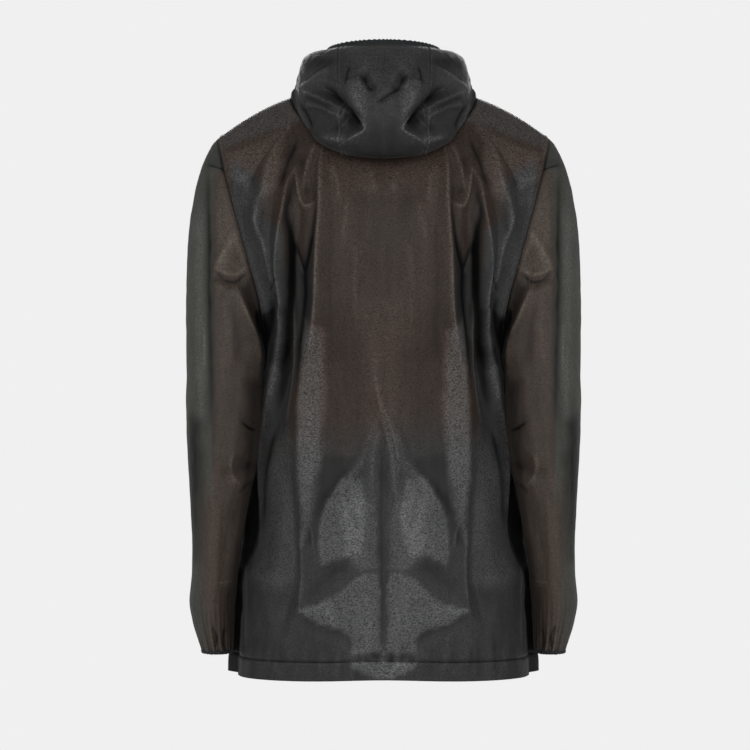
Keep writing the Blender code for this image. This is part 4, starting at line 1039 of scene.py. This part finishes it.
class Paint:
    """A new material: its nodes are made by node(), and constants go to its shader."""

    def __init__(self, name, **constants):
        self.made = bpy.data.materials.new(name)
        self.made.use_nodes = True
        self.tree = self.made.node_tree
        self.shader = self.tree.nodes["Principled BSDF"]
        for label, value in constants.items():
            self.shader.inputs[label.replace("_", " ")].default_value = value

    def feed(self, slot, value):
        if isinstance(value, Number):
            self.tree.links.new(value.socket, slot)
        else:
            slot.default_value = value

    def node(self, kind, settings=None, inputs=None, output=0):
        made = self.tree.nodes.new(kind)
        for label, value in (settings or {}).items():
            setattr(made, label, value)
        for label, value in (inputs or {}).items():
            self.feed(made.inputs[label], value)
        return Number(self, made.outputs[output])

    def attribute(self, label, output="Fac"):
        return self.node("ShaderNodeAttribute", {"attribute_name": label}, output=output)

    def parts(self, vector):
        """The x, y and z of a vector."""
        split = self.node("ShaderNodeSeparateXYZ", inputs={"Vector": vector}).socket.node
        return [Number(self, split.outputs[axis]) for axis in "XYZ"]

    def places(self, scale=(1.0, 1.0, 1.0)):
        """Places on the object in metres, each direction scaled by its own number."""
        place = self.node("ShaderNodeTexCoord", output="Object")
        return self.node("ShaderNodeVectorMath", {"operation": "MULTIPLY"}, {0: place, 1: scale})

    def noise(self, vector, scale, detail=2.0):
        inputs = {"Vector": vector, "Scale": scale, "Detail": detail}
        return self.node("ShaderNodeTexNoise", inputs=inputs)

    def blend(self, factor, first, second):
        made = self.tree.nodes.new("ShaderNodeMix")
        made.data_type = "RGBA"
        self.feed(made.inputs["Factor"], factor)
        colours = [slot for slot in made.inputs if slot.type == "RGBA"]
        for slot, value in zip(colours, (first, second)):
            self.feed(slot, value)
        return Number(self, next(slot for slot in made.outputs if slot.type == "RGBA"))

    def scaled(self, colour, factor):
        settings, inputs = {"operation": "SCALE"}, {0: colour, "Scale": factor}
        return self.node("ShaderNodeVectorMath", settings, inputs)

    def bump(self, height, distance, strength=1.0):
        inputs = {"Height": height, "Distance": distance, "Strength": strength}
        return self.node("ShaderNodeBump", inputs=inputs)

    def use(self, **inputs):
        for label, value in inputs.items():
            self.feed(self.shader.inputs[label.replace("_", " ")], value)
        return self.made


# %% The coated cloth
THREAD = 0.0006           # metres from thread to thread of the weave
GRAIN = 520.0             # how fine the speckle of the coat is
BROWN = (0.0300, 0.0215, 0.0172, 1)
SLEEVE_BROWN = (0.0450, 0.0350, 0.0290, 1)
CHARCOAL = (0.0240, 0.0243, 0.0243, 1)
# Lighter grey of the sleeve's cap and outer edge: partly the cloth's colour, partly painted sheen.
SLEEVE_GREY_AND_SHEEN = (0.0520, 0.0535, 0.0465, 1)
HOOD_GREY = (0.0243, 0.0247, 0.0257, 1)


def coated_cloth(name, cool, brown=BROWN, speckle=2.3):
    paint = Paint(name, Specular_IOR_Level=0.13, Sheen_Weight=0.03, Sheen_Roughness=0.35)
    grain = paint.noise(paint.places((0.8, 0.8, 1.3)), GRAIN)
    cloud = paint.noise(paint.places(), 70.0)
    streak = paint.noise(paint.places((1.0, 1.0, 0.25)), 160.0, detail=3.0)
    cut_x, cut_y, _ = paint.parts(paint.node("ShaderNodeUVMap", {"uv_map": "cut"}))
    turns = math.tau / THREAD
    weave = (cut_x * turns).sine() * (cut_y * turns).sine()
    # Painted light and shade kept by the mesh, with the fold lines drawn on it as painted
    # highlights and painted shade; painted highlights are also made greyer and, through lit, more
    # speckled.
    tone = paint.attribute("tone")
    near, mark = (paint.parts(paint.attribute(label, "Vector")) for label in ("near", "mark"))
    for away, strength in zip(near, mark):
        thin = away.maths("ABSOLUTE", away) ** 1.5
        tone = tone + strength * away.maths("EXPONENT", thin * -1.0)
    warm = paint.attribute("warm") * tone.maths("MINIMUM", 1.1 - tone * 0.3, 1.0)
    colour = paint.blend(warm.maths("MAXIMUM", warm, 0.0), cool, brown)
    lit = tone.maths("MAXIMUM", tone + 0.4, 0.0)
    level = tone + 1.0 + (grain - 0.5) * lit * (speckle * 2) + (cloud - 0.5) * 0.15
    level = level + (streak - 0.5) * 0.25
    level = level.maths("MAXIMUM", level, 0.04)
    base = paint.scaled(colour, level)
    rough = 0.44 + (cloud - 0.5) * 0.12 - tone * 0.06
    height = streak * 0.6 + grain * 0.14 + weave * 0.03
    return paint.use(Base_Color=base, Roughness=rough, Normal=paint.bump(height, 0.0012, 0.55))


SHELL = coated_cloth("shell_cloth", CHARCOAL)
SLEEVE_CLOTH = coated_cloth("sleeve_cloth", SLEEVE_GREY_AND_SHEEN, SLEEVE_BROWN, 1.6)
HOOD_CLOTH = coated_cloth("hood_cloth", HOOD_GREY, speckle=2.4)


def elastic():
    """Black elastic, fuzzy and a little patchy."""
    paint = Paint("ruched_elastic", Specular_IOR_Level=0.3, Sheen_Weight=0.1)
    fuzz = paint.noise(paint.places(), 900.0)
    patchy = paint.noise(paint.places(), 130.0)
    level = 0.75 + (fuzz - 0.5) * 0.5 + (patchy - 0.5) * 0.5
    base = paint.scaled((0.0050, 0.0068, 0.0085), level)
    return paint.use(Base_Color=base, Roughness=0.62 + fuzz * 0.1,
                     Normal=paint.bump(fuzz, 0.0006, 0.6))


def plain(name, colour, rough, metal=0.0, grain=1200.0, depth=0.0002, shine=0.45):
    """A simple finish with a faint grain."""
    paint = Paint(name, Specular_IOR_Level=shine)
    speck = paint.noise(paint.places(), grain)
    base = paint.scaled(colour, 0.85 + speck * 0.3)
    return paint.use(Base_Color=base, Roughness=rough + (speck - 0.5) * 0.12, Metallic=metal,
                     Normal=paint.bump(speck, depth, 0.5))


ELASTIC = elastic()
# Near black: painted shade on the inner side of every panel, darker than the cloth itself.
PAINTED_SHADE_INSIDE = plain("inner_side_painted_shade", (0.006, 0.006, 0.006), 0.9, grain=700.0, shine=0.03)
THREAD_PAINT = plain("sewing_thread", (0.036, 0.036, 0.037), 0.6)
TAPE = plain("zip_tape", (0.013, 0.013, 0.014), 0.75, grain=1600.0, depth=0.0003)
COIL = plain("zip_coil", (0.011, 0.011, 0.012), 0.38)
ENAMEL = plain("dark_enamel", (0.10, 0.10, 0.105), 0.3, metal=0.85, grain=2400.0, depth=0.00005)
print("finishes:", ", ".join(sorted(m.name for m in (SHELL, SLEEVE_CLOTH, HOOD_CLOTH, ELASTIC,
                                                     THREAD_PAINT, TAPE, COIL, ENAMEL))))


# %% [markdown]
# ## Back and fronts
#
# The back is cut in one piece; its hem is turned up once and stitched 24 mm above the edge, which
# draws the cloth into small diagonal puckers. Each front runs from the side seam to the zip.

# %% The body
WALL = 0.8                # thickness of the cloth that shows
ARM_X = 0.2               # metres from the centre to the middle of a sleeve
FRONT_WALL = 1.3          # a front's edges are turned, so that they look thicker


def hem_row(face):
    """How far down a panel its hem's stitching is."""
    top_z = NECK_BACK_Z if face > 0 else NECK_FRONT_Z
    return (top_z - (HEM_Z + HEM_DEPTH)) / (top_z - HEM_Z)


def body_rows(count, face):
    """Rows that lie close on the shoulders and at the hem's stitching."""
    return spaced(count, 0, 1, lambda v: bumps(v, (0, 0.10, 1.6), (hem_row(face), 0.008, 5),
                                               (0.2, 0.2, 0.4)))


def body_columns(count, low):
    """Columns that lie close at the seams and where the pleats are."""
    return spaced(count, low, 1, lambda s: bumps(np.abs(s), (1, 0.03, 3), (0.62, 0.2, 0.9)))


back_surface = body_panel(1)
panel("back", body_columns(250, -1), body_rows(178, 1), back_surface,
                       from_the_middle, SHELL, WALL)

front_surface = body_panel(-1)


def half_front(s, v):
    start = across_for_x(ZIP_HALF_OPENING, v)
    return front_surface(start + (1 - start) * (s + 1) / 2, v)


for name, mirror in (("front_left", False), ("front_right", True)):
    columns = spaced(90, -1, 1, lambda s: bumps(s, (1, 0.06, 3), (0.2, 0.4, 0.6)))
    panel(name, columns, body_rows(170, -1), half_front, from_the_middle, SHELL,
                         FRONT_WALL, mirror=mirror)

# %% [markdown]
# ## Sleeves
#
# A sleeve is one piece, closed by a seam below the arm. It hangs from the armhole, folds at the
# elbow's height, and is gathered into its elastic at the wrist.

# %% The sleeves
for name, mirror in (("sleeve_left", False), ("sleeve_right", True)):
    rows = spaced(170, 0, 1, lambda v: bumps(v, (0, 0.02, 2), (0.33, 0.12, 0.8), (1, 0.05, 1)))
    panel(name, np.linspace(-1, 1, 145), rows, sleeve_surface, from_the_arm,
                         SLEEVE_CLOTH, WALL, mirror=mirror, closed=True)

# %% [markdown]
# ## The hood
#
# It has a middle panel and two sides, and lies open on the back as a pouch: up from the neck seam
# inside, out and over the back, and up again to its ruched opening.

# %% The hood
hood_rows = spaced(165, 0, 1, lambda v: bumps(v, (0.6, 0.3, 1.0)))
columns = spaced(72, -1, 1, lambda s: bumps(np.abs(s), (1, 0.06, 2.5)))
panel("hood_center", columns, hood_rows, hood_middle,
                              lambda c: c - np.array((0.0, 0.12, 0.0)), HOOD_CLOTH,
                              WALL)
for name, mirror in (("hood_side_left", False), ("hood_side_right", True)):
    columns = spaced(110, -1, 1, lambda s: bumps(s, (-1, 0.03, 3), (-0.7, 0.5, 1.2)))
    panel(name, columns, hood_rows, hood_side, from_the_middle, HOOD_CLOTH,
                         WALL, mirror=mirror)

# %% [markdown]
# ## Ruched elastic
#
# The hood's opening and both cuffs end in a narrow black band of elastic that was stretched while
# it was sewn, so that it gathers into many uneven folds.

# %% The bindings
HOOD_ELASTIC, CUFF_ELASTIC = 9.6, 6.0    # how tall the bands are
BINDING_WALL = 2.2
UP = np.array((0.0, 0.0, 1.0))
HOOD_OVERLAP, CUFF_OVERLAP = 4.4, 1.6    # how far they cover the cloth's edge


def folded_angle(angle):
    """An angle all round as one from 0 at the centre back to pi at the centre front."""
    return np.abs(np.mod(angle + math.pi, 2 * math.pi) - math.pi)


def hood_rim(turn):
    angle = math.tau * turn
    rim = hood_base(folded_angle(angle), np.full(np.shape(turn), HOOD_RINGS))
    rim[..., 0] *= np.sign(np.sin(angle) + 1e-12)
    rim = rim + UP * (HOOD_ELASTIC / 2 - HOOD_OVERLAP)
    out = unit(rim * (1.0, 1.0, 0.0))
    return rim - out * WALL / 2, out


def cuff_rim(side):
    def rim_at(turn):
        rim = sleeve_ring(np.mod(turn, 1.0), np.full(np.shape(turn), CUFF_Z))
        middle = sleeve_ring(np.array((0.25, 0.75)), np.array((CUFF_Z, CUFF_Z))).mean(axis=0)
        out = unit(rim - middle)
        place = rim - out * WALL / 2 - UP * (CUFF_ELASTIC / 2 - CUFF_OVERLAP)
        return place * mirrored(side), out * mirrored(side)

    return rim_at


def binding(name, rim_at, waves, height, wander):
    """A closed band of elastic round rim_at(turn), puffed by many uneven gathers."""

    def surface(s, v):
        turn, round_it = (s + 1) / 2, math.tau * v
        place, out = rim_at(turn)
        phase = math.tau * turn
        gather = np.sin(waves * phase + 2.4 * np.sin(5 * phase) + 1.3 * np.sin(11 * phase + 1))
        small = np.sin(2 * round(waves * 1.3) * phase + 3 * np.sin(7 * phase))
        puff = 1 + 0.32 * gather + 0.16 * small
        across = BINDING_WALL / 2 * puff * np.cos(round_it)
        tall = height / 2 * (1 + 0.10 * gather) * np.sin(round_it)
        shift = wander * (gather * 0.6 + small * 0.4) * np.sin(round_it)
        along = np.cross(out, np.broadcast_to(UP, out.shape))
        place = place + out * across[..., None] + UP * tall[..., None] + along * shift[..., None]
        return place, {}

    across, round_it = np.linspace(-1, 1, 10 * waves + 1), np.linspace(0, 1, 13)
    places, faces, _looks = grid(across, round_it, surface)
    mesh = bpy.data.meshes.new(name)
    mesh.from_pydata(places.reshape(-1, 3).tolist(), [], faces.tolist())
    made = new_object(name + "_elastic", mesh, ELASTIC, replaced=(name,))
    weld(made, 0.001)
    print(name, len(shaped(made).polygons) * 2, "triangles")


binding("hood_binding", hood_rim, 74, HOOD_ELASTIC, 0.7)
binding("cuff_binding_left", cuff_rim(1), 34, CUFF_ELASTIC, 0.6)
binding("cuff_binding_right", cuff_rim(-1), 34, CUFF_ELASTIC, 0.6)

# %% [markdown]
# ## Stitches
#
# Every topstitched line is a row of short threads that lie a little proud of the cloth: the hem's
# line, the twin lines beside each hood seam, a line above each cuff and one down each front edge.

# %% Sewing
STITCH, GAP, THICK = 2.6, 3.4, 0.55      # a stitch's length, from stitch to stitch, its thickness
THREAD_PROUD = 0.3                       # how far its middle line stands out from the cloth


def stitches(name, lines):
    """Threads along lines of points in mm that are given with the outward normal at each."""
    length, pitch, thick = STITCH, GAP, THICK
    ring = np.array(((1, 0), (0.3, 1), (-1, 0.2), (-0.3, -0.6)), float)
    points, faces = [], []
    for places, outs in lines:
        steps = np.linalg.norm(np.diff(places, axis=0), axis=1)
        reach = np.concatenate(([0], np.cumsum(steps)))
        for start in np.arange(pitch / 2, reach[-1] - length, pitch):
            ends = [np.array([np.interp(start + length * t, reach, places[:, k])
                              for k in range(3)]) for t in (0, 0.5, 1)]
            out = unit(np.array([np.interp(start + length / 2, reach, outs[:, k])
                                 for k in range(3)]))
            aside = np.cross(unit(ends[2] - ends[0]), out)
            base = len(points)
            points.append(ends[0] - out * thick * 0.35)
            for a, b in ring:
                points.append(ends[1] + aside * a * thick / 2 + out * (b * thick / 2 + 0.05))
            points.append(ends[2] - out * thick * 0.35)
            for k in range(4):
                after = base + 1 + (k + 1) % 4
                faces += [(base, base + 1 + k, after), (base + 5, after, base + 1 + k)]
    mesh = bpy.data.meshes.new(name)
    mesh.from_pydata((np.array(points) * MM).tolist(), [], faces)
    mesh.shade_smooth()
    new_object(name, mesh, THREAD_PAINT)
    print(name, len(faces), "triangles")


def line_on(surface, s, v, side=1, off=0.35):
    """A line on a cloth surface as points and outward normals, for either side of the body."""
    places = surface(s, v)[0]
    out = normal(lambda a, b: surface(a, b)[0], s, v)
    middle = places * np.array((1.0, 1.0, 0.0))
    out = out * np.sign(np.sum(out * middle, axis=-1, keepdims=True))
    return (places + out * off) * mirrored(side), out * mirrored(side)


def hood_line(offset):
    """A line beside the hood's seam, from the pouch's foot up to the opening."""
    ring = np.linspace(3.3, 8.9, 260)
    angle = np.arcsin((HOOD.at(ring, "seam_x") + offset) / HOOD.at(ring, "side_x"))
    places = hood_cloth(angle, ring)[0]
    out = -normal(lambda a, r: hood_cloth(a, r)[0], angle, ring, 0.01, HOOD_RINGS)
    return places, out


thread_lines = []
across = np.linspace(-0.995, 0.995, 500)
thread_lines.append(line_on(back_surface, across, np.full(500, hem_row(1))))
across = np.linspace(0.02, 0.995, 260)
for side in (1, -1):
    thread_lines.append(line_on(front_surface, across, np.full(260, hem_row(-1)), side))
    down = np.linspace(0.01, 0.99, 400)
    thread_lines.append(line_on(front_surface, across_for_x(ZIP_HALF_OPENING + 2.5, down), down,
                                side))
stitches("body_stitches", thread_lines)

hood_lines = []
for offset in (-1.5, 1.5):
    places, out = hood_line(offset)
    away = np.sign(np.sum(out * (places - np.array((0.0, 80.0, -20.0))), axis=-1, keepdims=True))
    for side in (1, -1):
        hood_lines.append(((places + out * away * THREAD_PROUD) * mirrored(side),
                           out * away * mirrored(side)))
stitches("hood_stitches", hood_lines)

cuff_lines = []
around = np.linspace(-0.999, 0.999, 240)
places = sleeve_surface(around, np.full(240, CUFF_STITCH))[0]
out = unit(places - places.mean(axis=0))
for side in (1, -1):
    cuff_lines.append(((places + out * THREAD_PROUD) * mirrored(side), out * mirrored(side)))
stitches("cuff_stitches", cuff_lines)

# %% [markdown]
# ## The zip
#
# A nylon coil: one thread of teeth on each tape, which mesh in the middle. The tapes, slider, pull
# tab and box are the solids themselves with better finishes, and the plain strip of the chain is
# replaced by its teeth.

# %% The coil
def zip_line(count):
    """The chain's centre line down the hood and the front: points and outward normals in mm."""
    hood_share = 21 / 45
    v = np.linspace(0.004, 0.985, count)
    ring = HOOD_RINGS * np.clip(1 - v / hood_share, 0, 0.996)
    on_hood = hood_base(np.full(count, math.pi), ring)
    down = body_pace(np.clip((v - hood_share) / (1 - hood_share), 0, 0.996))
    on_body = torso(np.zeros(count), down, -1)
    path = np.where((v < hood_share)[:, None], on_hood, on_body)
    run = np.gradient(path, axis=0)
    out = unit(np.cross(run, np.array((1.0, 0.0, 0.0))))
    return path, out * np.sign(-out[:, 1:2])


TOOTH_PITCH = 1.5
path, out = zip_line(900)
steps = np.linalg.norm(np.diff(path, axis=0), axis=1)
reach = np.concatenate(([0], np.cumsum(steps)))
stations = np.arange(1, reach[-1] - 1, TOOTH_PITCH)
tooth = np.array([(x, y, z) for x in (-0.35, 2.5) for y in (0.0, 1.5) for z in (-0.42, 0.42)])
tooth[tooth[:, 0] > 1, 1] *= 0.8
box_faces = ((0, 1, 3, 2), (4, 6, 7, 5), (0, 4, 5, 1), (2, 3, 7, 6), (0, 2, 6, 4), (1, 5, 7, 3))
points, faces = [], []
for number, station in enumerate(stations):
    place = np.array([np.interp(station, reach, path[:, k]) for k in range(3)])
    away = np.array([np.interp(station, reach, out[:, k]) for k in range(3)])
    side = 1 if number % 2 else -1
    down = np.cross(np.array((1.0, 0.0, 0.0)), away)
    base = len(points)
    for x, y, z in tooth:
        points.append(place + np.array((side * x, 0, 0)) + away * (y - 1.6) + down * z)
    faces += [tuple(base + k for k in (face if side > 0 else face[::-1])) for face in box_faces]
mesh = bpy.data.meshes.new("zip_teeth")
mesh.from_pydata((np.array(points) * MM).tolist(), [], faces)
coil = new_object("zip_teeth", mesh, COIL, replaced=("zip_chain",))
soften = coil.modifiers.new("edges", "BEVEL")
soften.width, soften.segments = 0.0002, 1
shaped(coil)
print("zip_chain", len(coil.data.polygons) * 2, "triangles or fewer, of", len(stations), "teeth")

for name, finish in (("zip_tape_left", TAPE), ("zip_tape_right", TAPE), ("zip_slider", ENAMEL),
                     ("zip_pull", ENAMEL), ("zip_box", ENAMEL)):
    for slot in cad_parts[name].material_slots:
        slot.material = finish

# %% [markdown]
# ## What each piece of cloth was cut to
#
# A sheet's area can't change much when it is sewn and worn. So each panel, as it is made above,
# prints the width and length of the rectangle that it is cut from, and its area.

# %% [markdown]
# ## Camera, light and floor
#
# A studio: an even, pale backdrop, one large soft light above the camera, one at each side, and
# one before the garment for the views from the front.

# %% The studio
EYE = Vector((0.0108, 4.0, -0.352))
camera_data = bpy.data.cameras.new("camera")
camera_data.lens, camera_data.sensor_width = 151.2, 36.0
camera = bpy.data.objects.new("camera", camera_data)
camera.location = EYE
camera.rotation_euler = (math.radians(90), 0, math.radians(180))
bpy.context.scene.collection.objects.link(camera)
bpy.context.scene.camera = camera


def softbox(name, place, target, width, height, power):
    light = bpy.data.lights.new(name, "AREA")
    light.shape = "RECTANGLE"
    light.size, light.size_y = width, height
    light.energy = power
    made = bpy.data.objects.new(name, light)
    made.location = place
    made.rotation_euler = (Vector(target) - Vector(place)).to_track_quat("-Z", "Y").to_euler()
    bpy.context.scene.collection.objects.link(made)


softbox("key", (0.0, 4.6, 0.55), (0, 0, -0.35), 2.6, 1.4, 92)
softbox("front", (0.0, -4.6, 1.0), (0, 0, -0.35), 2.6, 1.6, 75)
for side in (1, -1):
    softbox("side", (side * 2.4, 1.9, 0.1), (0, 0, -0.35), 0.9, 2.0, 30)

world = bpy.data.worlds.new("studio")
bpy.context.scene.world = world
world.use_nodes = True
nodes, links = world.node_tree.nodes, world.node_tree.links
backdrop = nodes["Background"]
backdrop.inputs["Color"].default_value = (0.871, 0.871, 0.871, 1)
fill = nodes.new("ShaderNodeBackground")
fill.inputs["Color"].default_value = (1.0, 1.0, 1.0, 1)
fill.inputs["Strength"].default_value = 0.26
rays = nodes.new("ShaderNodeLightPath")
either = nodes.new("ShaderNodeMixShader")
links.new(rays.outputs["Is Camera Ray"], either.inputs[0])
links.new(fill.outputs[0], either.inputs[1])
links.new(backdrop.outputs[0], either.inputs[2])
links.new(either.outputs[0], nodes["World Output"].inputs[0])
bpy.context.scene.view_settings.view_transform = "Standard"

FLOOR_Z = -1.45
bpy.ops.mesh.primitive_circle_add(vertices=96, radius=2.2, fill_type="NGON",
                                  location=(0, 0, FLOOR_Z))
floor = bpy.context.object
floor.name = "floor"
floor.data.materials.append(plain("pale_floor", (0.8, 0.8, 0.8), 0.8, grain=30.0))
